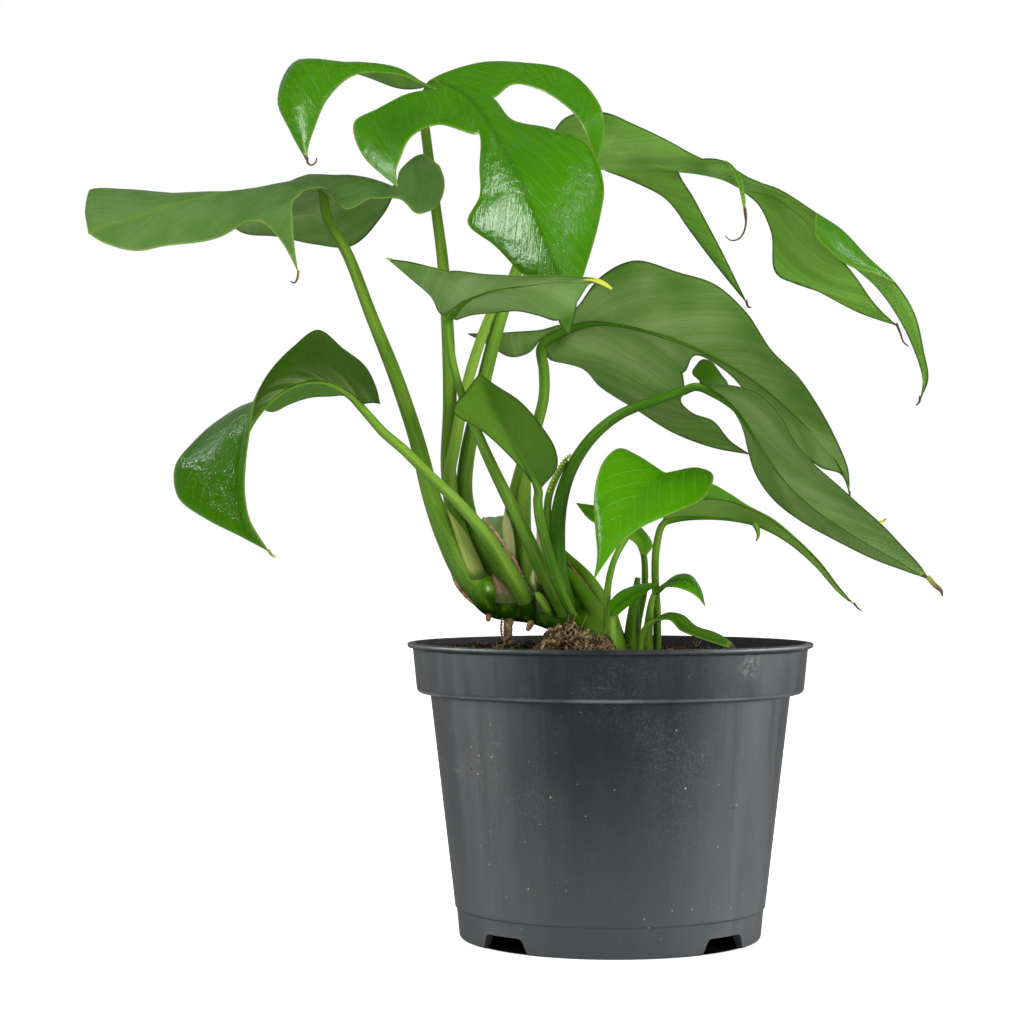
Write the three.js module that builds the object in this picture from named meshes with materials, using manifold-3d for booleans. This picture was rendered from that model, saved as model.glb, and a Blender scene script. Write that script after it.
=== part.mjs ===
// A potted mini monstera: a creeping green stem lifts out of a round nursery pot, and each leaf is
// one piece with its stalk, a lobed blade that arches and droops, and a midrib on its underside.
// Millimetres, +Z up. The origin is the middle of the whole plant's extent, on the surface that the pot
// stands on. Everything is laid out from the pot's axis, which stands POT_OFFSET to the right of it.
import * as THREE from "three";
import { mergeVertices } from "three/addons/utils/BufferGeometryUtils.js";
import Module from "manifold-3d";

const wasm = await Module();
wasm.setup();

const POT_OFFSET = 33.8;

// Driving dimensions of the pot.
const RIM_DIAMETER = 130.4;
const POT_HEIGHT = 94.5;
const WALL = 1.2;
const FOOT_RADIUS = 48.6;
const FOOT_BAND = 10;
const NOTCH = { width: 15, height: 5, count: 4, flare: 2.5 };
const BODY_TOP_RADIUS = 57.8;
const COLLAR = { low: 78.4, lowRadius: 62, highRadius: 63.4, round: 1.6 };
const LIP = { thick: 1.5, radius: RIM_DIAMETER / 2 };
const FLOOR = { low: 4.6, thick: 1.4, holeRadius: 4, holeRing: 33, holes: 8 };
const POT_SIDES = 64;

// Driving dimensions of the soil, the leaves and what joins them.
const GAP = 0.3;
const SOIL = { level: 88.5, mound: 4.6, grain: 0.7, rings: 5, sides: 28 };
const BLADE_THICK = 0.8;
const SMALL_BLADE_THICK = 0.65;
const BLADE_BOW = 0.07;
const RIB_INSET = 0.1;
const STEPS = { along: 2, half: 2, lobe: 1.5 };
const STALK_SIDES = 7;
const RIB_SIDES = 5;
const SAME = 1e-3;

// Leaf shapes are laid out on a front view drawn as the eye sees it from here: x and z are read on the
// sheet through the pot's axis, and a place in front of it (-y) or behind it (+y) slides along its sight line.
const EYE = { x: -31.5, y: -789, z: 124.7 };

function at([x, z, y]) {
  const scale = (y - EYE.y) / -EYE.y;
  return new THREE.Vector3(EYE.x + (x - EYE.x) * scale, y, EYE.z + (z - EYE.z) * scale);
}

// Materials.
const finish = (color, roughness) => new THREE.MeshStandardMaterial({ color, roughness, metalness: 0 });
const MATERIAL = {
  pot: finish(0x45484b, 0.5),
  soil: finish(0x2a1d14, 0.95),
  coir: finish(0x8a6a42, 0.95),
  leaf: finish(0x3f8a12, 0.32),
  stem: finish(0x4d8a1c, 0.4),
  root: finish(0x8c7346, 0.85),
  sheath: finish(0xb7b06a, 0.6),
  dry: finish(0x86684a, 0.85),
};

// A closed triangle list as a solid, with its faces turned out.
function solidOf(points, triangles) {
  const geometry = new THREE.BufferGeometry();
  geometry.setAttribute("position", new THREE.Float32BufferAttribute(points.flatMap((p) => [p.x, p.y, p.z]), 3));
  geometry.setIndex(triangles.flat());
  return solidOfGeometry(geometry);
}

function solidOfGeometry(geometry) {
  geometry.deleteAttribute("normal");
  geometry.deleteAttribute("uv");
  const merged = mergeVertices(geometry, 1e-4);
  const triVerts = new Uint32Array(merged.index.array);
  const vertProperties = new Float32Array(merged.attributes.position.array);
  const made = new wasm.Manifold(new wasm.Mesh({ numProp: 3, vertProperties, triVerts }));
  if (made.volume() > 0) return made;
  for (let i = 0; i < triVerts.length; i += 3) [triVerts[i + 1], triVerts[i + 2]] = [triVerts[i + 2], triVerts[i + 1]];
  return new wasm.Manifold(new wasm.Mesh({ numProp: 3, vertProperties, triVerts }));
}

const largest = (solid) => solid.decompose().sort((a, b) => b.volume() - a.volume())[0];

function meshOf(name, solid, material) {
  const mesh = solid.getMesh();
  const geometry = new THREE.BufferGeometry();
  const positions = new Float32Array(mesh.numVert * 3);
  for (let i = 0; i < mesh.numVert; i++) {
    positions.set(mesh.vertProperties.subarray(i * mesh.numProp, i * mesh.numProp + 3), i * 3);
  }
  geometry.setAttribute("position", new THREE.BufferAttribute(positions, 3));
  geometry.setIndex(new THREE.BufferAttribute(new Uint32Array(mesh.triVerts), 1));
  geometry.computeVertexNormals();
  const made = new THREE.Mesh(geometry, material);
  made.name = name;
  return made;
}

// A smooth curve through points; share 0 is the first point and 1 the last.
const through = (points) => new THREE.CatmullRomCurve3(points);

// A round stalk along a curve, its radius running smoothly through the radii given.
function stalk(points, radii, grow = 0, sides = STALK_SIDES) {
  const curve = through(points);
  const steps = Math.round((points.length - 1) * 1.5);
  const thickness = through(radii.map((r, i) => new THREE.Vector3(r, i, 0)));
  const rings = [];
  let normal = null;
  for (let i = 0; i <= steps; i++) {
    const share = i / steps;
    const along = curve.getTangent(share);
    if (!normal) normal = new THREE.Vector3(0, 1, 0).cross(along).normalize();
    normal.addScaledVector(along, -normal.dot(along)).normalize();
    const side = along.clone().cross(normal);
    const radius = thickness.getPoint(share).x + grow;
    const centre = curve.getPoint(share);
    const ring = Array.from({ length: sides }, (_, k) => {
      const angle = (2 * Math.PI * k) / sides;
      return centre.clone().addScaledVector(normal, radius * Math.cos(angle)).addScaledVector(side, radius * Math.sin(angle));
    });
    rings.push(ring);
  }
  const vertices = rings.flat();
  const triangles = [];
  for (let i = 0; i < steps; i++) {
    for (let k = 0; k < sides; k++) {
      const [a, b] = [i * sides + k, i * sides + ((k + 1) % sides)];
      triangles.push([a, b, b + sides], [a, b + sides, a + sides]);
    }
  }
  for (let k = 1; k < sides - 1; k++) {
    triangles.push([0, k + 1, k], [steps * sides, steps * sides + k, steps * sides + k + 1]);
  }
  return solidOf(vertices, triangles);
}

// The open sheet of a blade: triangles over points, with places shared where patches meet.
class Sheet {
  constructor() {
    this.points = [];
    this.triangles = [];
  }

  index(point) {
    const found = this.points.findIndex((known) => known.distanceTo(point) < SAME);
    return found >= 0 ? found : this.points.push(point.clone()) - 1;
  }

  // Rows of points become triangles; a cell that closes to a point gives one triangle or none.
  patch(rows, flip) {
    for (let i = 0; i + 1 < rows.length; i++) {
      for (let j = 0; j + 1 < rows[i].length; j++) {
        const corners = [rows[i][j], rows[i][j + 1], rows[i + 1][j + 1], rows[i + 1][j]].map((p) => this.index(p));
        this.face(corners[0], corners[1], corners[2], flip);
        this.face(corners[0], corners[2], corners[3], flip);
      }
    }
  }

  face(a, b, c, flip) {
    if (a === b || b === c || c === a) return;
    this.triangles.push(flip ? [a, c, b] : [a, b, c]);
  }

  // The sheet with its thickness, alike on both faces.
  thicken(thick) {
    const normals = this.points.map(() => new THREE.Vector3());
    for (const [a, b, c] of this.triangles) {
      const across = this.points[b].clone().sub(this.points[a]).cross(this.points[c].clone().sub(this.points[a]));
      for (const i of [a, b, c]) normals[i].add(across);
    }
    const moved = (sign) => this.points.map((p, i) => p.clone().addScaledVector(normals[i].clone().normalize(), (sign * thick) / 2));
    const count = this.points.length;
    const uses = new Map();
    for (const [a, b, c] of this.triangles) {
      for (const [p, q] of [[a, b], [b, c], [c, a]]) uses.set(p + "," + q, [p, q]);
    }
    const rim = [...uses.values()].filter(([p, q]) => !uses.has(q + "," + p));
    const triangles = [
      ...this.triangles,
      ...this.triangles.map(([a, b, c]) => [a + count, c + count, b + count]),
      ...rim.flatMap(([p, q]) => [[p, p + count, q + count], [p, q + count, q]]),
    ];
    return solidOf([...moved(1), ...moved(-1)], triangles);
  }
}

// A blade from cross-sections [edge, midrib, edge], and lobes that grow out of one of its edges.
function bladeSheet(leaf) {
  const last = leaf.sections.length - 1;
  const rails = [0, 1, 2].map((k) => through(leaf.sections.map((s) => at(s.length === 3 && s[0].length ? s[k] : s))));
  const sheet = new Sheet();
  const flip = leaf.up < 0;
  const bow = leaf.bow ?? BLADE_BOW;
  const section = (share) => {
    const [first, rib, second] = rails.map((rail) => rail.getPoint(share));
    const along = rails[1].getTangent(share);
    const upward = second.clone().sub(first).cross(along).normalize().multiplyScalar(leaf.up);
    const half = (edge, s) => rib.clone().lerp(edge, s).addScaledVector(upward, bow * edge.distanceTo(rib) * 4 * s * (1 - s));
    const shares = Array.from({ length: STEPS.half }, (_, k) => (k + 1) / STEPS.half);
    return [...shares.slice().reverse().map((s) => half(first, s)), rib, ...shares.map((s) => half(second, s))];
  };
  const columns = last * (leaf.along ?? STEPS.along);
  sheet.patch(Array.from({ length: columns + 1 }, (_, i) => section(i / columns)), flip);
  for (const lobe of leaf.lobes ?? []) lobePatch(sheet, rails, lobe, last, flip);
  const rib = (share, depth) => {
    const across = rails[2].getPoint(share).sub(rails[0].getPoint(share));
    const upward = across.cross(rails[1].getTangent(share)).normalize().multiplyScalar(leaf.up);
    return rails[1].getPoint(share).addScaledVector(upward, -depth);
  };
  return { sheet, rib };
}

// A lobe starts on the blade's edge between two sections, and its rows [edge, middle, edge] run to its tip.
function lobePatch(sheet, rails, lobe, last, flip) {
  const edge = lobe.side === "first" ? rails[0] : rails[2];
  const spread = (w) => (lobe.from + (lobe.to - lobe.from) * w) / last;
  const rows = lobe.rows.map((row) => (row[0].length ? row.map(at) : [at(row), at(row), at(row)]));
  const lines = [0, 1, 2].map((k) => {
    const share = spread(k / 2);
    return through([rails[1].getPoint(share), edge.getPoint(share), ...rows.map((row) => row[k])]);
  });
  const across = (lobe.to - lobe.from) * STEPS.along;
  const steps = Math.ceil(lobe.rows.length * STEPS.lobe);
  const start = 1 / (lobe.rows.length + 1);
  const blend = (places, w) => places[0].clone().multiplyScalar(2 * w * w - 3 * w + 1)
    .addScaledVector(places[1], 4 * w - 4 * w * w).addScaledVector(places[2], 2 * w * w - w);
  const atStart = lines.map((line) => line.getPoint(start));
  const patch = Array.from({ length: steps + 1 }, (_, i) => {
    const out = i / steps;
    const places = lines.map((line) => line.getPoint(start + (1 - start) * out));
    return Array.from({ length: across + 1 }, (_, j) => {
      const w = j / across;
      const settle = edge.getPoint(spread(w)).sub(blend(atStart, w));
      return blend(places, w).addScaledVector(settle, (1 - out) ** 2);
    });
  });
  sheet.patch(patch, (lobe.side === "second") !== flip);
}

// A whole leaf as one solid: stalk, blade and the midrib that stands out of the blade's underside.
function leafSolid(leaf, grow = 0) {
  const { sheet, rib } = bladeSheet(leaf);
  const thick = leaf.thick ?? BLADE_THICK;
  let solid = sheet.thicken(thick + 2 * grow);
  const stalkEnd = leaf.radii[leaf.radii.length - 1];
  const shares = leaf.along === 1 ? [0, 0.45, 0.9] : [0, 0.22, 0.44, 0.66, 0.88];
  const ribRadii = shares.map((share) => Math.max(0.4, stalkEnd * (1 - share)));
  const ribPoints = shares.map((share, i) => rib(share, Math.max(0, ribRadii[i] - thick / 2 + RIB_INSET)));
  solid = solid.add(stalk(ribPoints, ribRadii, grow, RIB_SIDES));
  const path = [...leaf.stalk.map(at), ribPoints[0]];
  solid = solid.add(stalk(path, leaf.radii, grow));
  for (const wing of leaf.wings ?? []) solid = solid.add(stalk(wing.path.map(at), wing.radii, grow, 6));
  return largest(solid);
}

// The leaves. A place is [x, z, y]: x and z on the front view and y the depth. A section is
// [edge, midrib, edge] and the last is the tip. up says which way the blade's upper side faces.
const LEAVES = {
  leaf_left: {
    up: 1,
    stalk: [[-39, 109, -6], [-46, 117, -7], [-52, 128, -8], [-57, 140, -8], [-62.3, 160, -8], [-69, 180, -6],
      [-77, 200, -3], [-84.3, 219, 0], [-91, 231, 3]],
    radii: [4.6, 4.6, 3.9, 3, 2.5, 2.3, 2, 1.8, 1.6, 1.5],
    sections: [
      [[-69.5, 241, -4], [-93, 244.3, 6], [-69, 239.6, 12]],
      [[-77, 237.3, -9], [-96, 245, 6], [-73, 232, 20]],
      [[-85.5, 233.8, -16], [-100, 244, 6], [-83, 222, 28]],
      [[-91, 240.2, -17], [-104, 242.3, 6], [-95, 222.5, 32]],
      [[-99, 239.5, -18], [-109, 241.3, 5], [-107, 225, 32]],
      [[-116.5, 230, -18], [-117, 240.2, 3], [-119, 226.5, 30]],
      [[-127, 224.3, -15], [-127, 238.8, 0], [-128, 236, 27]],
      [[-143, 222, -12], [-141, 235, -3], [-141, 238.8, 16]],
      [[-153, 220.4, -11], [-153, 231, -5], [-156, 240.3, 12]],
      [[-163, 223, -10], [-163, 228, -7], [-168.5, 239.5, 4]],
      [-168, 226, -8],
    ],
    lobes: [
      { side: "first", from: 4, to: 5, rows: [
        [[-102, 236, -21], [-106, 234, -22], [-112, 229.5, -21]],
        [[-102, 228, -26], [-104, 227, -26], [-107, 225, -25]],
        [[-101.3, 220, -28], [-102.3, 220, -28], [-103.7, 220, -28]],
        [-100.2, 213, -28],
      ] },
      { side: "first", from: 0, to: 1, rows: [
        [[-67.5, 246.5, -8], [-66, 242, -9], [-67.5, 237, -12]],
        [[-60.5, 251.6, -13], [-59.5, 242, -12], [-62, 232.4, -15]],
        [[-55, 248, -15], [-53.2, 241, -14], [-56, 234, -15]],
      ] },
    ],
  },
  leaf_crown: {
    up: -1,
    stalk: [[-40, 110, 2], [-45, 120, 4], [-49.5, 133, 5], [-52, 150, 5], [-51.5, 170, 5], [-52, 190, 6],
      [-53.5, 214, 8], [-56, 234, 10], [-59, 256, 11], [-60, 268, 10]],
    radii: [3.4, 3.2, 2.8, 2.5, 2.3, 2.1, 1.9, 1.7, 1.6, 1.5, 1.4],
    sections: [
      [[-59, 273.5, 10], [-58, 275, 9], [-57, 276, 9]],
      [[-56, 272.5, 1], [-52, 273.5, 1], [-48, 275, 3]],
      [[-48, 265, -11], [-45, 269.5, -9], [-37.5, 269.6, -6]],
      [[-42, 258, -20], [-39, 262, -20], [-31, 262.3, -13]],
      [[-42, 247, -25], [-34, 253, -27], [-20, 260, -14]],
      [[-42, 238, -28], [-29, 243, -32], [-7, 254.5, -16]],
      [[-45.8, 229.5, -28], [-25, 233, -35], [-2, 242, -19]],
      [[-37, 222, -31], [-21, 223, -36], [-3, 232, -23]],
      [[-27, 212, -33], [-16, 212, -35], [-8, 214, -29]],
      [-12, 203, -33],
    ],
    lobes: [
      { side: "first", from: 0, to: 1, rows: [
        [[-67, 272.5, 14], [-68, 279, 6], [-68, 277, -2]],
        [[-80, 277, 14], [-83, 281.5, 2], [-82, 277, -8]],
        [[-100, 282, 2], [-97, 279, -10], [-91, 269, -16]],
        [[-107, 269, -12], [-101, 267, -19], [-95, 260, -20]],
        [[-103, 259, -17], [-99, 257, -21], [-97, 254, -21]],
        [-97.5, 249, -20],
      ] },
      { side: "first", from: 1, to: 3, rows: [
        [[-65, 271, -6], [-62, 267, -12], [-55, 261, -22]],
        [[-75, 266, -14], [-71, 262, -19], [-64, 257, -27]],
        [[-82.5, 261.5, -22], [-76, 256, -27], [-67.5, 250, -31]],
        [[-79.5, 251, -28], [-74, 249, -31], [-68.8, 246, -33]],
        [-68, 240.5, -32],
      ] },
      { side: "second", from: 0, to: 2, rows: [
        [[-42, 281, 11], [-36, 278, 3], [-31, 274, -4]],
        [[-28, 281, 11], [-25, 278, 4], [-22, 272, -4]],
        [[-14, 278.5, 5], [-14, 274, -2], [-13, 266, -9]],
        [[-3, 267, -9], [-6, 265, -11], [-8.5, 260, -13]],
        [[-1.8, 260, -9.5], [-4, 257.5, -11], [-6.5, 254.5, -12]],
        [-4, 248.5, -10.5],
      ] },
    ],
  },
  leaf_right_high: {
    up: -1,
    along: 1,
    stalk: [[-34, 109, 3], [-38, 118, 6], [-44, 130, 8], [-46.8, 142, 8], [-46, 154, 7], [-43, 168, 6],
      [-39.5, 183, 4], [-35.5, 198, 5], [-30, 214, 8], [-24, 231, 12]],
    radii: [3.2, 3.2, 3, 2.7, 2.5, 2.4, 2.3, 2.2, 2, 1.8, 1.6],
    wings: [{ path: [[-46.5, 134, 4], [-51.5, 145, 1], [-49.5, 160, 1], [-46.5, 175, 1], [-42.5, 189, 1.5], [-37, 203, 3.5],
      [-33, 209, 6]], radii: [1.2, 1.9, 1.9, 1.8, 1.7, 1.4, 1] }],
    sections: [
      [[-20, 245.5, 18], [-18, 248, 15], [-21, 254, 10]],
      [[-12, 245.5, 20], [-9, 249, 13], [-14, 263.5, 0]],
      [[-2, 246.7, 21], [1, 249.3, 12], [-2, 265, -6]],
      [[9, 246.4, 20], [10, 248.9, 11], [8, 261, -8]],
      [[22, 246, 17], [20.5, 247.8, 10], [18, 256.3, -8]],
      [[31, 244.8, 14], [31, 246, 8], [30, 250, -5]],
      [[37, 243, 11], [37, 244.4, 7], [38, 248, -3]],
      [[42, 240.5, 10], [43, 242, 6], [46, 243.4, -1]],
      [[52, 238, 10], [53, 239.3, 5], [55, 240, 0]],
      [[62, 231, 9], [63, 233.8, 3], [66, 233, -2]],
      [[70, 222.5, 8], [72, 225.5, 1], [75, 227.2, -4]],
      [[78, 215.5, 6], [81, 217, 0], [84, 217.3, -4]],
      [[86, 208.5, 2], [89, 208.8, -1], [92.5, 209.5, -4]],
      [[92.5, 199.5, -1], [95, 199, -3], [98.3, 200, -5]],
      [[97.5, 189.5, -4], [99.5, 188, -5], [101.2, 188, -6]],
      [[100.7, 179, -6], [101.7, 178, -6.5], [102.6, 179, -7]],
      [99.8, 172, -7],
    ],
    lobes: [
      { side: "first", from: 2, to: 4, rows: [
        [[8, 242.5, 21], [16, 241, 20], [23.5, 243, 16]],
        [[18, 237, 20], [22.5, 236.5, 19], [27, 237.5, 17]],
        [[26, 226.5, 18], [28.5, 227.5, 17], [31.5, 229, 17]],
        [[33.5, 216.5, 16], [35, 217.5, 15], [37, 218.5, 15]],
        [44.5, 203, 13],
      ] },
      { side: "first", from: 7, to: 11, rows: [
        [[48, 235, 11], [58, 229, 10], [73, 219.5, 8]],
        [[52, 226, 12], [62, 219, 11], [76.5, 215.5, 7]],
        [[53.5, 213, 13], [67, 209, 11], [80, 211, 7]],
        [[65, 208.3, 12], [75, 205, 10], [84, 205, 6]],
        [[80, 200.5, 10], [83.5, 201, 9], [88, 200.5, 7]],
        [93, 196, 8],
      ] },
      { side: "second", from: 5, to: 6, rows: [
        [[36, 249.5, -9], [37.5, 249, -9], [39, 248.3, -8]],
        [[40, 244.8, -13], [41, 244.5, -13], [42, 244.3, -12.5]],
        [[42.2, 238, -15], [42.9, 238, -15], [43.6, 238, -15]],
        [43.6, 229.5, -15],
      ] },
      { side: "second", from: 9, to: 12, rows: [
        [[66, 229, -8], [76, 221.5, -9], [87.5, 212, -7]],
        [[66, 225.6, -9], [75, 216.8, -10], [84, 213.6, -8]],
      ] },
    ],
  },
  leaf_right_broad: {
    up: -1,
    stalk: [[-27, 109, 4], [-31, 117, 8], [-32.5, 128, 11], [-31.5, 138, 13], [-29.5, 147, 14], [-26.5, 157, 14],
      [-23, 166, 14], [-21.2, 174, 14], [-21.2, 182, 14]],
    radii: [2.8, 2.8, 2.5, 2.2, 2, 2, 1.9, 1.8, 1.8, 1.7],
    wings: [{ path: [[-24.5, 112, 6], [-27.5, 122, 9], [-28, 133, 11], [-27.5, 143, 12.5], [-26.5, 152, 13.5]],
      radii: [2.2, 2.7, 2.7, 2.2, 1] }],
    sections: [
      [[-22, 192, 12], [-21.5, 190, 13], [-21.5, 187.5, 14]],
      [[-16, 196.5, 6], [-15, 194.5, 9], [-20, 186, 14]],
      [[-10, 203, -3], [-8, 197, 4], [-8, 188, 8]],
      [[-3, 212, -12], [1, 197, -2], [2, 186, 5]],
      [[8, 217.3, -18], [11, 195, -6], [13, 184, 1]],
      [[22, 213.5, -22], [21, 191.5, -9], [23.5, 181, -4]],
      [[34, 209.5, -24], [30, 187.8, -12], [27.5, 186.8, -11]],
      [[44, 200.5, -24], [38, 184, -14], [38, 181, -13]],
      [[52, 188.5, -23], [46, 179, -15], [46, 172, -12]],
      [[61, 179.5, -21], [55, 172, -15], [54, 163, -12]],
      [[68, 169, -18], [63, 164, -14], [61, 156, -12]],
      [[73.5, 158.5, -14], [70, 156, -13], [68, 150.5, -12]],
      [[76.8, 150, -11], [75.5, 149, -11], [74.5, 148.3, -11]],
      [77.3, 141.5, -9],
    ],
    lobes: [
      { side: "second", from: 1, to: 5, rows: [
        [[-9, 182.8, 15], [4, 180, 8], [24, 175.5, 0]],
        [[-3, 176.5, 18], [9, 173, 12], [23, 171.8, 6]],
        [[8, 169.5, 20], [17, 167.5, 17], [27, 168, 11]],
        [[20, 162, 21], [27, 162, 19], [33.5, 165.5, 15]],
        [[33, 157, 21], [36, 158.5, 20], [39, 159, 18]],
        [45.5, 154.7, 19],
      ] },
      { side: "first", from: 0, to: 1, rows: [
        [[-26, 187.6, 15], [-25, 191, 11], [-22, 195, 10]],
        [[-32, 186.2, 15], [-32, 190.5, 10], [-31, 194.3, 11]],
        [[-39, 190, 13], [-39.5, 191.7, 11], [-39.5, 193.8, 12]],
        [-46, 193.8, 12],
      ] },
    ],
  },
  leaf_right_low: {
    up: -1,
    stalk: [[-10, 97, -9], [-13.5, 106, -10], [-16.3, 116, -12], [-17, 128, -13], [-15.8, 140, -15], [-12.5, 150, -17],
      [-6, 160, -20], [3, 167.5, -23], [14, 172, -26], [23, 175, -28]],
    radii: [2.8, 2.9, 2.8, 2.6, 2.3, 2, 1.8, 1.6, 1.5, 1.4, 1.3],
    wings: [{ path: [[-18.5, 126, -12], [-20, 134, -13], [-19.7, 141, -14], [-17.5, 147, -15.5], [-14, 153, -17]],
      radii: [1, 1.2, 1.2, 1.1, 0.8] }],
    sections: [
      [[29, 178, -29], [28, 176.5, -29], [29, 175.3, -29]],
      [[38, 177.3, -38], [34, 175, -30], [35, 173.5, -28]],
      [[48, 174.5, -46], [39.5, 170.5, -32], [40, 168.5, -29]],
      [[55, 167.5, -49], [44, 164.8, -33], [42.8, 163, -28]],
      [[60, 158.5, -50], [48, 158.3, -34], [44.3, 157, -26]],
      [[66, 151.5, -50], [52.5, 151.5, -35], [47, 148.5, -26]],
      [[73, 145.3, -50], [58, 144.5, -37], [53, 140, -27]],
      [[80, 139, -49], [66, 137.3, -39], [62, 133, -30]],
      [[88, 131.8, -47], [76, 130.3, -40], [72, 127.5, -33]],
      [[95, 124.5, -45], [87, 124, -41], [84, 121.5, -36]],
      [[100, 119, -42], [95.5, 119, -41], [93, 118, -39]],
      [103, 114.5, -40],
    ],
    lobes: [
      { side: "first", from: 0, to: 1, rows: [
        [[26.5, 181, -25], [31, 182, -27], [36, 180.5, -31]],
        [[28.5, 184.5, -21], [30.7, 185.5, -21], [33.5, 184, -23]],
      ] },
    ],
  },
  leaf_left_low: {
    up: 1,
    along: 1,
    stalk: [[-26, 104.5, -5], [-29.5, 112, -12], [-35, 121.5, -16.5], [-42, 131.5, -20], [-50, 140.5, -22],
      [-58, 148, -23], [-66, 156, -24], [-73, 162, -24], [-77, 166.5, -24]],
    radii: [3.2, 3, 2.4, 2, 1.8, 1.7, 1.6, 1.5, 1.4, 1.3],
    sections: [
      [[-74, 171, -30], [-79.5, 171, -24], [-80, 170, -20]],
      [[-75.5, 177, -34], [-83, 174.3, -24], [-85, 173.5, -15]],
      [[-79, 183.5, -37], [-88, 177, -24], [-90, 173.5, -10]],
      [[-86, 189, -37], [-94, 178.6, -24], [-97, 173, -6]],
      [[-94, 195, -36], [-100, 177.8, -24], [-103, 171, -3]],
      [[-102, 189.5, -36], [-106, 174.7, -24], [-109, 168.5, -1]],
      [[-109.5, 181.5, -36], [-111.5, 170, -24], [-116, 171, -2]],
      [[-114, 173, -36], [-116, 163.5, -25], [-126, 166, -4]],
      [[-116, 162, -36], [-119, 156, -26], [-134, 159, -8]],
      [[-117.3, 151, -37], [-120, 148, -28], [-140, 151, -13]],
      [[-117.5, 142, -38], [-119.5, 140, -31], [-139, 141, -19]],
      [[-116, 134, -39], [-118, 132.5, -34], [-130, 134, -27]],
      [[-113, 128.5, -39], [-114.5, 127.5, -36], [-119, 128.5, -33]],
      [-109.5, 123.3, -38],
    ],
  },
  leaf_middle: {
    up: -1,
    stalk: [[-11, 97, -13], [-16, 107, -15], [-21.5, 117, -17], [-27, 129, -18.5], [-33.5, 142, -19.5],
      [-39, 153.5, -21], [-44, 165, -22], [-48, 175, -23], [-50.5, 184, -24], [-52, 193, -24]],
    radii: [2.6, 2.6, 2.4, 2.1, 1.9, 1.7, 1.5, 1.3, 1.3, 1.4, 1.5],
    sections: [
      [[-54.5, 200, -25], [-52, 199, -24], [-49.5, 198, -23]],
      [[-55, 206, -34], [-49, 202.5, -29], [-45, 199.5, -23]],
      [[-52, 213.7, -50], [-43, 206, -38], [-38, 200.3, -27]],
      [[-40, 212.8, -57], [-35, 208.3, -45], [-30, 201, -34]],
      [[-28, 212.3, -60], [-26, 209.5, -50], [-23, 199.6, -40]],
      [[-17, 212.4, -59], [-17, 210.5, -52], [-16.5, 198, -42]],
      [[-10, 212, -55], [-9.5, 210.3, -51], [-10.5, 204, -45]],
      [[-5, 211.3, -51], [-5, 210.6, -49], [-6, 210, -46]],
      [0.3, 208, -48],
    ],
    lobes: [
      { side: "first", from: 0, to: 2, rows: [
        [[-57.5, 205.5, -31], [-58, 209.5, -39], [-58, 215.3, -51]],
        [[-63, 210.5, -38], [-63.5, 212.8, -43], [-64, 216.8, -49]],
        [-71.5, 217.8, -45],
      ] },
      { side: "second", from: 5, to: 6, rows: [
        [[-16.2, 197, -42], [-13.7, 197.8, -43], [-11, 200, -44]],
        [-13, 193, -43],
      ] },
    ],
  },
  leaf_folded: {
    up: -1,
    stalk: [[-9.5, 98.5, -15], [-15, 109, -20.5], [-18, 117, -22], [-20.5, 126, -23.5], [-22.5, 134, -24.5],
      [-23.2, 140, -25]],
    radii: [1.5, 1.6, 1.6, 1.6, 1.6, 1.5, 1.4],
    sections: [
      [[-24, 144, -25], [-23, 143.5, -25], [-22, 144, -25]],
      [[-28, 149.5, -29], [-26, 149, -28], [-17, 150.5, -24]],
      [[-34, 156, -33], [-30.5, 156, -31], [-17.5, 156.5, -24]],
      [[-41, 162.3, -36], [-35, 163.5, -33], [-22, 164, -25]],
      [[-50.5, 168.8, -36], [-39, 171, -33], [-29, 172, -26]],
      [[-46.5, 175, -33], [-41, 176.5, -32], [-37, 177.3, -28]],
      [-42, 181, -30],
    ],
  },
  leaf_front_small: {
    up: -1,
    along: 1,
    bow: 0.05,
    thick: SMALL_BLADE_THICK,
    stalk: [[-0.6, 88, -19], [-1, 104, -19], [-0.5, 113, -18], [1.5, 121, -17], [5, 127.5, -15], [11, 136, -14],
      [16, 144, -17]],
    radii: [1.2, 1.2, 1.1, 1, 1, 0.95, 0.9, 0.9],
    sections: [
      [[17, 149.4, -20], [18, 148.8, -20], [19.5, 149.2, -20]],
      [[9, 154.5, -22], [13.5, 146.5, -23], [28, 150.6, -17]],
      [[3, 156.8, -24], [9, 142.5, -27], [33.2, 148.3, -20]],
      [[-1.8, 153, -27], [5.5, 138.5, -31], [30.5, 141, -25]],
      [[-4.3, 146.5, -30], [2.5, 134, -34], [21, 136.2, -31]],
      [[-5.2, 139, -32], [-0.2, 129.3, -36.5], [10, 131.2, -34.5]],
      [[-4.6, 130, -34.5], [-2.2, 124, -37.5], [3, 125.7, -36]],
      [[-4, 122, -36.5], [-3.4, 119.5, -38], [-1.8, 119.5, -37]],
      [-5.2, 114.3, -37.5],
    ],
  },
  leaf_narrow: {
    up: -1,
    along: 1,
    thick: SMALL_BLADE_THICK,
    stalk: [[15.2, 88, -12], [15.2, 104, -12], [14.6, 115, -11], [15, 125, -9.5]],
    radii: [1.3, 1.3, 1.2, 1.2, 1.1],
    sections: [
      [[17.5, 135, -9], [17, 133.5, -8], [17.5, 135, -6]],
      [[22, 139.5, -13], [23, 135, -7], [23, 143.5, 1]],
      [[30, 140.6, -13], [31, 134.7, -6], [31, 145.8, 2]],
      [[37, 140.2, -12], [38.5, 134.2, -5], [38, 142.6, 1]],
      [[44, 138, -10], [46, 132.7, -5], [44.5, 138.4, -1]],
      [[52, 134, -8], [53, 129.5, -5], [52.5, 134.2, -3]],
      [[59.5, 128, -8], [60.5, 124.5, -6], [60, 128, -4]],
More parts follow.
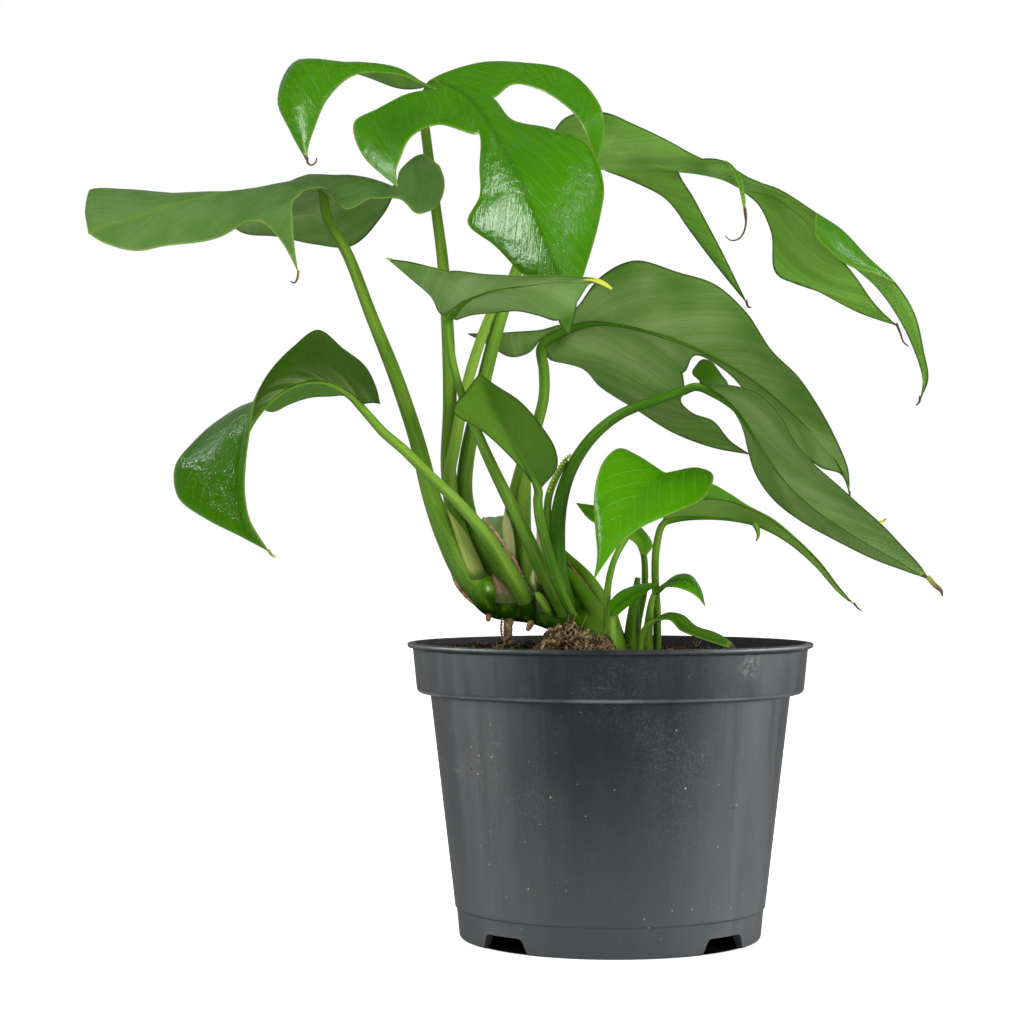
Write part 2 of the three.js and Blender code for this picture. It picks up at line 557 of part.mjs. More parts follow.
      [[67, 120.8, -7.5], [67.5, 117.8, -6], [67.5, 120.6, -4.5]],
      [[73.5, 112.7, -7], [73.5, 110.8, -6], [73.6, 112.6, -5]],
      [79.3, 106, -6],
    ],
  },
  leaf_behind: {
    up: 1,
    along: 1,
    thick: SMALL_BLADE_THICK,
    stalk: [[8.5, 88, -5], [9, 100, -5], [11.2, 112, -4]],
    radii: [1.2, 1.2, 1.1, 1],
    sections: [
      [[10, 122.5, -4], [11, 122, -4], [12, 122.5, -4]],
      [[8.3, 126, -6], [10, 126, -5], [13.8, 125.7, -2]],
      [[4.5, 128.5, -7], [6.5, 129.5, -6], [9.5, 132, 0]],
      [[-1, 131, -8], [1, 132.7, -6], [3.5, 136.5, 0]],
      [[-6.5, 133.8, -8], [-4.5, 135.8, -6], [-3, 138, -2]],
      [-11, 139.3, -6],
    ],
  },
  leaf_new: {
    up: 1,
    along: 1,
    thick: SMALL_BLADE_THICK,
    stalk: [[1, 88, -25], [0.5, 98, -25]],
    radii: [1.8, 1.6, 1.2],
    sections: [
      [[-0.6, 103.6, -24.5], [0.6, 102.5, -26], [2, 102.3, -24.5]],
      [[-0.2, 107, -22], [1.8, 105.2, -26], [3.6, 104, -23]],
      [[3, 110.6, -22], [4.3, 108, -27], [6, 106, -23]],
      [[8, 112.7, -23], [8.5, 110.6, -28], [9.6, 108.8, -24]],
      [[12.5, 113.4, -26], [12.8, 112.2, -28.5], [13, 111.3, -26]],
      [16.5, 113.6, -28],
    ],
  },
  leaf_sprig: {
    up: 1,
    along: 1,
    thick: SMALL_BLADE_THICK,
    stalk: [[12.4, 88, -16], [12.3, 98, -16]],
    radii: [1.8, 1.5, 0.8],
    sections: [
      [[13.5, 110.8, -15], [14, 110.3, -15.5], [14.5, 110, -16]],
      [[17.5, 113.2, -12], [17.5, 112.4, -16], [17.5, 111.9, -18]],
      [[21.5, 116, -10], [21.8, 114.3, -16], [21.5, 111.9, -20]],
      [[25.5, 116.2, -10], [25.7, 114, -17], [25, 110.8, -21]],
      [[28.8, 112.5, -13], [28.4, 111.3, -18], [28, 109, -20]],
      [31, 105.5, -18],
    ],
  },
  leaf_lying: {
    up: 1,
    along: 1,
    thick: SMALL_BLADE_THICK,
    stalk: [[9.5, 88, -21], [10.5, 97, -21.5], [12.5, 100.3, -22]],
    radii: [1, 0.9, 0.8, 0.7],
    sections: [
      [[15, 102.4, -21.5], [15, 101.9, -22], [15, 101.2, -22.5]],
      [[19, 104, -20], [19.3, 103, -23], [19.3, 101.4, -25]],
      [[23.5, 103.2, -21], [23.3, 101.3, -26], [22.5, 98.2, -27]],
      [[28, 99.5, -25], [28, 98.2, -29], [27, 96.3, -30]],
      [[34, 97.5, -27], [34, 96, -32], [33, 94.2, -34]],
      [[38.5, 94.8, -30], [38, 94, -34], [37, 93, -36]],
      [41, 91.8, -35],
    ],
  },
  leaf_back: {
    up: 1,
    along: 1,
    stalk: [[-28, 106, 6]],
    radii: [1.8, 1.4],
    sections: [
      [[-34, 112, 15], [-33, 112, 15], [-32, 112.5, 15]],
      [[-42, 117, 20], [-37, 118, 22], [-30, 120, 20]],
      [[-46, 125, 30], [-39, 126, 30], [-29, 128, 28]],
      [[-45, 131, 42], [-38, 132, 42], [-29, 133, 38]],
      [[-41, 134, 52], [-37, 134.5, 53], [-32, 134.5, 50]],
      [-36, 133, 62],
    ],
  },
};

// The creeping stem, its side shoots and old leaf stumps, and the roots that hold it.
const STEM = {
  main: { path: [[-44, 112, -5], [-38, 107.5, -4], [-30, 106, -3], [-22, 104.2, -4], [-14, 101, -8], [-6, 98.5, -13],
    [0, 94, -15], [3, 86, -15]], radii: [3.6, 5, 4.9, 4.7, 4.7, 4.9, 4.9, 3.8] },
  stumps: [
    { path: [[-1, 95, -14], [-5, 104.5, -13], [-10, 112, -9], [-17.5, 120.5, -4]], radii: [3.6, 2.9, 2.4, 1.8] },
    { path: [[2, 95, -12], [-1.5, 105, -8], [-6.5, 113.5, -4], [-17, 124.5, 2]], radii: [3.4, 2.9, 2.4, 1.6] },
  ],
};
const ROOTS = [
  { path: [[-32, 104, -4], [-32.8, 99, -5], [-32.8, 94, -5], [-33.5, 84, -5]], radii: [1.4, 1.5, 1.3, 1.1] },
  { path: [[-38, 106, -5], [-39, 103, -6], [-39.2, 101.2, -6]], radii: [1, 0.9, 0.7] },
  { path: [[-25, 102, -6], [-25.8, 99.6, -7], [-26.6, 98.2, -7.4]], radii: [1.2, 1, 0.6] },
];
const SHOOT = { path: [[7, 86, -13], [7, 97, -13], [8.2, 108, -11], [9, 115, -10]], radii: [2.6, 2.3, 1.6, 0.9] };

// Thin sheaths that once wrapped a new leaf: pale and fresh, or brown and dry.
const SHEATHS = {
  sheath_pale: { material: MATERIAL.sheath, up: 1, sections: [
    [[-44.5, 114.5, -11.8], [-42, 114.5, -11.3], [-39.5, 115.5, -9]],
    [[-47.5, 122, -12.2], [-45, 122.5, -11.6], [-42.5, 122.5, -9]],
    [[-50.5, 131, -12], [-48.5, 130.5, -11.3], [-46, 129, -9]],
    [-52.5, 137.5, -11.6],
  ] },
  sheath_dry: { material: MATERIAL.dry, up: 1, sections: [
    [[-37, 107, -11.5], [-33, 106.5, -11.8], [-29, 107, -11]],
    [[-37.5, 112, -12], [-35, 111.5, -12.6], [-32, 111, -12]],
    [-38, 117, -12],
  ] },
  sheath_yellow: { material: MATERIAL.sheath, up: 1, sections: [
    [[-21.5, 119, -12.4], [-20, 118.8, -12.8], [-18.7, 119, -12.4]],
    [[-23.5, 125, -12.2], [-22.3, 125, -12.8], [-21, 125.4, -12.2]],
    [-23.6, 131.2, -11.6],
  ] },
};

// Every sub-part, made in turn. A later one gives way to the earlier ones, by a small gap.
const plant = new THREE.Group();
plant.position.x = POT_OFFSET;
const placed = [];

function place(name, material, make) {
  let solid = make(0);
  for (const other of placed) {
    if (!solid.intersect(other.cutter).isEmpty()) solid = solid.subtract(other.cutter);
  }
  solid = largest(solid);
  placed.push({ name, cutter: make(GAP) });
  plant.add(meshOf(name, solid, material));
}

const tube = ({ path, radii }, grow, sides) => stalk(path.map(at), radii, grow, sides);

// The pot: a turned profile with a foot band, a stepped collar and a thin lip, then notches and drain holes.
function potSolid() {
  const body = (z) => FOOT_RADIUS + ((BODY_TOP_RADIUS - FOOT_RADIUS) * z) / COLLAR.low;
  const top = POT_HEIGHT - LIP.thick;
  const profile = [
    [0, FLOOR.low], [FOOT_RADIUS - 3.2, FLOOR.low], [FOOT_RADIUS - 2.6, 0], [FOOT_RADIUS - 1, 0], [FOOT_RADIUS, 1.2], [body(FOOT_BAND) - 0.5, FOOT_BAND - 0.3], [body(FOOT_BAND), FOOT_BAND],
    [body(COLLAR.low), COLLAR.low], [COLLAR.lowRadius - COLLAR.round, COLLAR.low],
    [COLLAR.lowRadius - 0.4, COLLAR.low + 0.5], [COLLAR.lowRadius, COLLAR.low + COLLAR.round],
    [COLLAR.highRadius, top - 0.4], [LIP.radius - 0.3, top + 0.1], [LIP.radius, top + LIP.thick * 0.5],
    [LIP.radius - 0.3, POT_HEIGHT], [COLLAR.highRadius - WALL, POT_HEIGHT],
    [COLLAR.lowRadius - WALL, COLLAR.low + WALL], [body(COLLAR.low) - WALL, COLLAR.low + WALL],
    [body(FLOOR.low) - WALL, FLOOR.low + FLOOR.thick], [0, FLOOR.low + FLOOR.thick],
  ];
  const turned = new THREE.LatheGeometry(profile.map(([r, z]) => new THREE.Vector2(r, z)), POT_SIDES);
  let pot = solidOfGeometry(turned.rotateX(Math.PI / 2));
  const outline = new THREE.Shape([
    [-NOTCH.width / 2 - NOTCH.flare, -1], [NOTCH.width / 2 + NOTCH.flare, -1],
    [NOTCH.width / 2, NOTCH.height], [-NOTCH.width / 2, NOTCH.height],
  ].map(([x, y]) => new THREE.Vector2(x, y)));
  for (let i = 0; i < NOTCH.count; i++) {
    const angle = (2 * Math.PI * (i + 0.5)) / NOTCH.count;
    const cut = new THREE.ExtrudeGeometry(outline, { depth: 20, bevelEnabled: false });
    cut.rotateX(Math.PI / 2).translate(0, -FOOT_RADIUS + 14, 0).rotateZ(angle);
    pot = pot.subtract(solidOfGeometry(cut));
  }
  for (let i = 0; i < FLOOR.holes; i++) {
    const angle = (2 * Math.PI * i) / FLOOR.holes;
    const hole = new THREE.CylinderGeometry(FLOOR.holeRadius, FLOOR.holeRadius, 10, 14);
    hole.rotateX(Math.PI / 2).translate(FLOOR.holeRing * Math.cos(angle), FLOOR.holeRing * Math.sin(angle), FLOOR.low);
    pot = pot.subtract(solidOfGeometry(hole));
  }
  return pot;
}

// Repeatable bumps from a few sines, between about -1 and 1.
const bumps = (x, y, z) => (Math.sin(x * 1.9 + 1.3 * Math.sin(y * 1.1)) + Math.sin(y * 2.3 + 1.7 * Math.sin(x * 0.8 + z))) / 2;

// Soil fills the pot to just under the rim, banked up round the stem, with a crumbly top.
function soilSolid() {
  const inner = (z) => FOOT_RADIUS + ((BODY_TOP_RADIUS - FOOT_RADIUS) * z) / COLLAR.low - WALL - GAP;
  const floor = FLOOR.low + FLOOR.thick + GAP;
  const ledge = COLLAR.low + WALL + GAP;
  const topRadius = COLLAR.lowRadius - WALL - 0.3 - GAP;
  const profile = [[inner(floor), floor], [inner(COLLAR.low), COLLAR.low], [inner(COLLAR.low), ledge], [topRadius - 0.6, ledge]];
  const height = (r, angle) => {
    const [x, y] = [r * Math.cos(angle), r * Math.sin(angle)];
    const mound = SOIL.mound * Math.exp(-((x + 8) ** 2 + (y + 6) ** 2) / 700);
    const left = 3.6 * Math.exp(-((x + 42) ** 2 + (y - 25) ** 2) / 900);
    const right = 2.4 * Math.exp(-((x - 28) ** 2 + (y - 15) ** 2) / 700);
    return SOIL.level + mound + left + right + SOIL.grain * bumps(x, y, 0);
  };
  const points = [];
  const triangles = [];
  const ring = (radius, z) => {
    const first = points.length;
    for (let k = 0; k < SOIL.sides; k++) {
      const angle = (2 * Math.PI * k) / SOIL.sides;
      points.push(new THREE.Vector3(radius * Math.cos(angle), radius * Math.sin(angle), z ?? height(radius, angle)));
    }
    return first;
  };
  const rings = [...profile.map(([r, z]) => ring(r, z))];
  for (let i = SOIL.rings; i > 0; i--) rings.push(ring((topRadius * i) / SOIL.rings));
  for (let i = 0; i + 1 < rings.length; i++) {
    for (let k = 0; k < SOIL.sides; k++) {
      const next = (k + 1) % SOIL.sides;
      triangles.push([rings[i] + k, rings[i] + next, rings[i + 1] + next], [rings[i] + k, rings[i + 1] + next, rings[i + 1] + k]);
    }
  }
  const bottom = points.push(new THREE.Vector3(0, 0, floor)) - 1;
  const top = points.push(new THREE.Vector3(0, 0, height(0, 0))) - 1;
  for (let k = 0; k < SOIL.sides; k++) {
    const next = (k + 1) % SOIL.sides;
    triangles.push([bottom, rings[0] + next, rings[0] + k]);
    triangles.push([top, rings[rings.length - 1] + k, rings[rings.length - 1] + next]);
  }
  return solidOf(points, triangles);
}

// The fibrous top of the young plant's root plug, lumps half sunk in the soil.
function plugSolid(grow) {
  const lumps = [[-17, 94.5, -22, 4.6], [-9.5, 93.5, -25, 5.4], [-3.5, 92, -27, 4.8]];
  return lumps.map(([x, z, y, radius], i) => {
    const ball = mergeVertices(new THREE.IcosahedronGeometry(1, 2).deleteAttribute("normal").deleteAttribute("uv"));
    const position = ball.attributes.position;
    const centre = at([x, z, y]);
    for (let k = 0; k < position.count; k++) {
      const direction = new THREE.Vector3().fromBufferAttribute(position, k);
      const reach = radius + grow + 0.8 * bumps(direction.x * 3 + i, direction.y * 3, direction.z * 3 + i);
      position.setXYZ(k, centre.x + direction.x * reach, centre.y + direction.y * reach, centre.z + direction.z * reach * 0.9);
    }
    return solidOfGeometry(ball);
  }).reduce((all, lump) => all.add(lump));
}

place("pot", MATERIAL.pot, (grow) => (grow ? wasm.Manifold.union([]) : potSolid()));
place("stem", MATERIAL.stem, (grow) => [STEM.main, ...STEM.stumps].map((s) => tube(s, grow, 12)).reduce((a, b) => a.add(b)));
ROOTS.forEach((root, i) => place(`aerial_root_${i + 1}`, MATERIAL.root, (grow) => tube(root, grow)));
for (const [name, leaf] of Object.entries(LEAVES)) place(name, MATERIAL.leaf, (grow) => leafSolid(leaf, grow));
place("shoot_stem", MATERIAL.stem, (grow) => tube(SHOOT, grow));
for (const [name, sheath] of Object.entries(SHEATHS)) {
  place(name, sheath.material, (grow) => bladeSheet(sheath).sheet.thicken(SMALL_BLADE_THICK + 2 * grow));
}
place("root_plug", MATERIAL.coir, plugSolid);
place("soil", MATERIAL.soil, () => soilSolid());

const whole = new THREE.Group();
whole.add(plant);

export default whole;
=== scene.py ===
"""A potted mini monstera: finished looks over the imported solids, in metres, in their frame."""
import math
import bmesh
import bpy
from mathutils import Matrix, Quaternion, Vector, kdtree, noise


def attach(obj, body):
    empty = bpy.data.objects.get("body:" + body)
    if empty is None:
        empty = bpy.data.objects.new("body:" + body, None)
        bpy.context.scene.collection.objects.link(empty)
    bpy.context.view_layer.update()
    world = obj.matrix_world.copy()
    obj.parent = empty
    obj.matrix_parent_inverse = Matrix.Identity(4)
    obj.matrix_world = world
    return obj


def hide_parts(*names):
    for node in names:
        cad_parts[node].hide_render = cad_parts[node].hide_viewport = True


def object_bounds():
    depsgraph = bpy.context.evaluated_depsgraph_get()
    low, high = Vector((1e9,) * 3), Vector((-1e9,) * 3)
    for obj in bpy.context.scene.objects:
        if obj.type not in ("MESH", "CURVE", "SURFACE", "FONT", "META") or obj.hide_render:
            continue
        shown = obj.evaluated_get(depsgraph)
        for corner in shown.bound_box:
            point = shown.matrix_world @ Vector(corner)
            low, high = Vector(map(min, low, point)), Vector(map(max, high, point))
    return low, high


bl_info = {
    "name": "Potted mini monstera",
    "version": (1, 0, 0),
    "blender": (4, 5, 0),
    "location": "View3D > Sidebar > Plant",
    "description": "Builds a young split-leaf plant in a nursery pot",
    "category": "Add Mesh",
}

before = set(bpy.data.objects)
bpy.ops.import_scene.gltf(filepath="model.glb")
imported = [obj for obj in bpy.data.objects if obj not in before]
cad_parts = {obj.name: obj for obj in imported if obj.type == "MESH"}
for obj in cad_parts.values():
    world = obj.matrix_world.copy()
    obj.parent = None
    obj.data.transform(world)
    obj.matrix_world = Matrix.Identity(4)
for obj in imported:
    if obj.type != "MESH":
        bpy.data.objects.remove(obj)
CAD_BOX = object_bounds()
MM = 0.001
POT_OFFSET = 33.8
EYE = Vector((-31.5, -789.0, 124.7))
TINY = 1e-4


# Sizes and colours that a user may change.
def colour(name, description, default):
    return bpy.props.FloatVectorProperty(name=name, description=description, default=default,
                                         subtype="COLOR", size=3, min=0, max=1)


def length(name, description, default):
    return bpy.props.FloatProperty(name=name, description=description, default=default * MM,
                                   unit="LENGTH", subtype="DISTANCE", precision=5)


def share(name, description, default):
    return bpy.props.FloatProperty(name=name, description=description, default=default, min=0, max=1,
                                   subtype="FACTOR")


def count(name, description, default):
    return bpy.props.IntProperty(name=name, description=description, default=default, min=0)


class PotSettings(bpy.types.PropertyGroup):
    rim: length("Rim diameter", "Outside width of the pot's lip", 130.4)
    height: length("Height", "Height of the pot", 94.5)
    wall: length("Wall", "Thickness of the moulded wall", 1.2)
    plastic: colour("Plastic", "Colour of the moulded plastic", (0.0098, 0.0122, 0.0142))
    scuff: colour("Scuff", "Colour of the scuffed plastic", (0.07, 0.075, 0.08))
    dust: colour("Dust", "Colour of the dry soil specks", (0.25, 0.22, 0.18))
    specks: count("Specks", "Soil specks that cling to the wall", 150)


class SoilSettings(bpy.types.PropertyGroup):
    level: length("Level", "Height of the soil's surface", 88.5)
    mound: length("Mound", "Height of the bank round the stem", 4.6)
    crumb: length("Crumb", "Width of a common crumb", 1.5)
    crumbs: count("Crumbs", "Crumbs that lie on the soil", 3200)
    fibre: length("Fibre", "Length of a common fibre", 7)
    fibres: count("Fibres", "Coir fibres that lie on the soil", 260)
    dark: colour("Dark soil", "Colour of the moist soil", (0.013, 0.0085, 0.006))
    bark: colour("Bark", "Colour of the bark bits", (0.075, 0.038, 0.018))
    coir: colour("Coir", "Colour of the coir fibres", (0.42, 0.27, 0.13))


class LeafSettings(bpy.types.PropertyGroup):
    thick: length("Blade", "Thickness of a large blade", 0.6)
    thin: length("Small blade", "Thickness of a small blade", 0.45)
    vein: length("Vein spacing", "Distance between side veins along the midrib", 8.5)
    upper: colour("Upper side", "Colour of a blade's upper side", (0.035, 0.13, 0.003))
    young: colour("Young leaf", "Colour of a young blade", (0.042, 0.19, 0.0))
    under: colour("Underside", "Colour of a blade's underside", (0.11, 0.19, 0.026))
    pale: colour("Vein", "Colour of the veins", (0.17, 0.32, 0.015))
    dry: colour("Dry tip", "Colour of a dried tip", (0.075, 0.05, 0.028))


class StemSettings(bpy.types.PropertyGroup):
    green: colour("Stalk", "Colour of the stalks", (0.032, 0.11, 0.002))
    pale: colour("Pale streak", "Colour of the light side of a stalk", (0.16, 0.29, 0.03))
    scar: colour("Scar", "Colour of the scars on the stem", (0.17, 0.10, 0.05))
    root: colour("Root", "Colour of the roots", (0.38, 0.26, 0.12))
    sheath: colour("Sheath", "Colour of a fresh sheath", (0.54, 0.58, 0.2))
    dry_sheath: colour("Dry sheath", "Colour of a dry sheath", (0.30, 0.20, 0.12))


class StageSettings(bpy.types.PropertyGroup):
    lens: bpy.props.FloatProperty(name="Lens", description="Focal length of the camera in millimetres",
                                  default=86.13)
    floor: colour("Floor", "Colour of the floor", (0.9, 0.9, 0.9))
    key: bpy.props.FloatProperty(name="Key", description="Strength of the key light in watts", default=11)
    surround: share("Surround", "Strength of the light from all round", 0.3)


def settings(group):
    return getattr(bpy.context.scene, "plant_" + group)


# Curves, in millimetres from the pot's axis.
def at(place):
    """The point that stands at x and z on the front view and at the depth y."""
    x, z, y = place
    scale = (y - EYE.y) / -EYE.y
    return Vector((EYE.x + (x - EYE.x) * scale, y, EYE.z + (z - EYE.z) * scale))


def places(text):
    """Lists of numbers, from text in which commas part the lists."""
    return [[float(number) for number in place.split()] for place in text.split(",")]


def path(text):
    """Points, from text such as "x z y, x z y"."""
    return [at(place) for place in places(text)]


def limb(text, radii):
    """What a tube needs: its path and its radii."""
    return path(text), radii


def curl(text, radii, dry):
    """A thread-like tip: its path, its radii and how dry its two ends are."""
    return path(text), radii, dry


def rows(text):
    """Rows of three points, parted by slashes; a row of one point stands for three that meet."""
    found = [path(row) for row in text.split("/")]
    return [row if len(row) == 3 else row * 3 for row in found]


def lobe(side, first, last, text):
    """A lobe that grows out of one edge between two sections, row by row outwards."""
    return {"side": side, "from": first, "to": last, "rows": rows(text)}


class Curve:
    """A smooth curve through points: share 0 is the first point and 1 the last."""

    def __init__(self, points):
        self.points = [Vector(p) for p in points]

    def knot(self, i):
        last = len(self.points) - 1
        if i < 0:
            return 2 * self.points[0] - self.points[1]
        if i > last:
            return 2 * self.points[last] - self.points[last - 1]
        return self.points[i]

    def point(self, share):
        last = len(self.points) - 1
        start = max(0, min(int(last * share), last - 1))
        t = last * share - start
        before, first, second, after = (self.knot(start + k) for k in (-1, 0, 1, 2))

        def pace(one, two, otherwise):
            """The root of a distance, or another number where two points fall together."""
            root = (two - one).length_squared ** 0.25
            return root if root > TINY else otherwise

        step = pace(first, second, 1)
        step_in, step_out = pace(before, first, step), pace(second, after, step)
        leave = (first - before) / step_in - (second - before) / (step_in + step) + (second - first) / step
        arrive = (second - first) / step - (after - first) / (step + step_out) + (after - second) / step_out
        leave *= step
        arrive *= step
        square = 3 * (second - first) - 2 * leave - arrive
        cube = 2 * (first - second) + leave + arrive
        return first + t * (leave + t * (square + t * cube))

    def tangent(self, share):
        ahead, behind = min(1, share + 1e-3), max(0, share - 1e-3)
        return (self.point(ahead) - self.point(behind)).normalized()


def smooth(low, high, value):
    """0 at or before low, 1 at or after high, and an even run between them."""
    t = max(0.0, min(1.0, (value - low) / (high - low)))
    return t * t * (3 - 2 * t)


def thread(values):
    """A number that runs smoothly through the values given."""
    line = Curve([(value, i, 0) for i, value in enumerate(values)])
    return lambda share: line.point(share).x


# Meshes in the making.
def circle(radius, height, sides, start=0):
    """Points round the pot's axis; start is the first one's angle in sides, and height may depend on x and y."""
    made = []
    for k in range(sides):
        turn = 2 * math.pi * (k + start) / sides
        x, y = radius * math.cos(turn), radius * math.sin(turn)
        made.append(Vector((x, y, height(x, y) if callable(height) else height)))
    return made


def band(first, second, sides, inward=False):
    """The faces between two rings of points, given the number of each ring's first point."""
    made = []
    for k in range(sides):
        following = (k + 1) % sides
        a, b, c, d = first + k, first + following, second + following, second + k
        made.append([a, d, c, b] if inward else [a, b, c, d])
    return made


class Form:
    """Points in millimetres, faces, and for each point the vectors that its finish reads."""

    def __init__(self):
        self.points = []
        self.faces = []
        self.marks = {}

    def add(self, points, faces, **marks):
        first = len(self.points)
        self.points += points
        self.faces += [[first + i for i in face] for face in faces]
        for name in set(self.marks) | set(marks):
            known = self.marks.setdefault(name, [Vector()] * first)
            known += marks.get(name) or [Vector()] * len(points)

    def tube(self, points, radii, sides=16, fine=6, tone=0.5, dry=(0, 0), shape=None):
        """A round tube along a curve, closed at both ends; shape(share, angle) may swell its radius."""
        line, width = Curve(points), thread(radii)
        tint = tone if callable(tone) else lambda way: tone
        steps = max(4, (len(points) - 1) * fine)
        side_way = Vector((0, 1, 0)).cross(line.tangent(0)).normalized()
        rings, strand, look = [], [], []
        travelled, last = 0, line.point(0)
        for i in range(steps + 1):
            way = i / steps
            along = line.tangent(way)
            side_way = (side_way - along * side_way.dot(along)).normalized()
            across = along.cross(side_way)
            centre = line.point(way)
            travelled += (centre - last).length
            last = centre
            radius = max(0.05, width(way))
            for k in range(sides):
                angle = 2 * math.pi * k / sides
                swell = shape(way, angle) if shape else 1
                out = side_way * math.cos(angle) + across * math.sin(angle)
                rings.append(centre + out * radius * swell)
                strand.append(Vector((radius * math.cos(angle), radius * math.sin(angle), travelled)))
                look.append(Vector((tint(way), dry[0] + (dry[1] - dry[0]) * way, way)))
        faces = [face for i in range(steps) for face in band(i * sides, (i + 1) * sides, sides)]
        for end, way, turn in ((0, 0, -1), (steps * sides, 1, 1)):
            radius = max(0.05, width(way))
            tip = line.point(way) + line.tangent(way) * turn * radius * 0.35
            rings.append(tip)
            strand.append(Vector((0, 0, travelled * way)))
            look.append(Vector((tint(way), dry[way], way)))
            pole = len(rings) - 1
            for k in range(sides):
                pair = [end + k, end + (k + 1) % sides]
                faces.append([pole, *(pair if turn > 0 else pair[::-1])])
        self.add(rings, faces, strand=strand, look=look)

    def blank(self, name, marks=()):
        """A bare object with the marks named: in metres and in the row's frame."""
        mesh = bpy.data.meshes.new(name)
        mesh.from_pydata([((p.x + POT_OFFSET) * MM, p.y * MM, p.z * MM) for p in self.points], [], self.faces)
        for mark in marks:
            layer = mesh.attributes.new(mark, "FLOAT_VECTOR", "POINT")
            layer.data.foreach_set("vector", [value for vector in self.marks[mark] for value in vector])
        mesh.update()
        return linked(bpy.data.objects.new(name, mesh))

    def piece(self, name, material, slot, *nodes):
        """The finished object, riding on its body."""
        return finished(self.blank(name, self.marks), material, slot, *nodes)


def linked(piece):
    bpy.context.scene.collection.objects.link(piece)
    return piece


def finished(piece, material, slot, *nodes, sharp=None):
    """Shades a piece smoothly, gives it its finish, if one is named, and puts it in the frame."""
    mesh = piece.data
    if material:
        mesh.materials.clear()
        mesh.materials.append(bpy.data.materials[material])
    mesh.shade_smooth()
    if sharp:
        mesh.set_sharp_from_angle(angle=sharp)
    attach(piece, "root")
    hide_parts(*nodes)
    return piece


# Blades.
ALONG = 8
ACROSS = 14
LOBE = 6
RIB_STEPS = 200
WELD = 0.004
RELAX_PASSES = {"creased": 5, "plain": 24}
RELAX_SHARE = 0.45


def nearest_of(points):
    """A tree that finds the nearest of the points."""
    tree = kdtree.KDTree(len(points))
    for i, point in enumerate(points):
        tree.insert(point, i)
    tree.balance()
    return tree


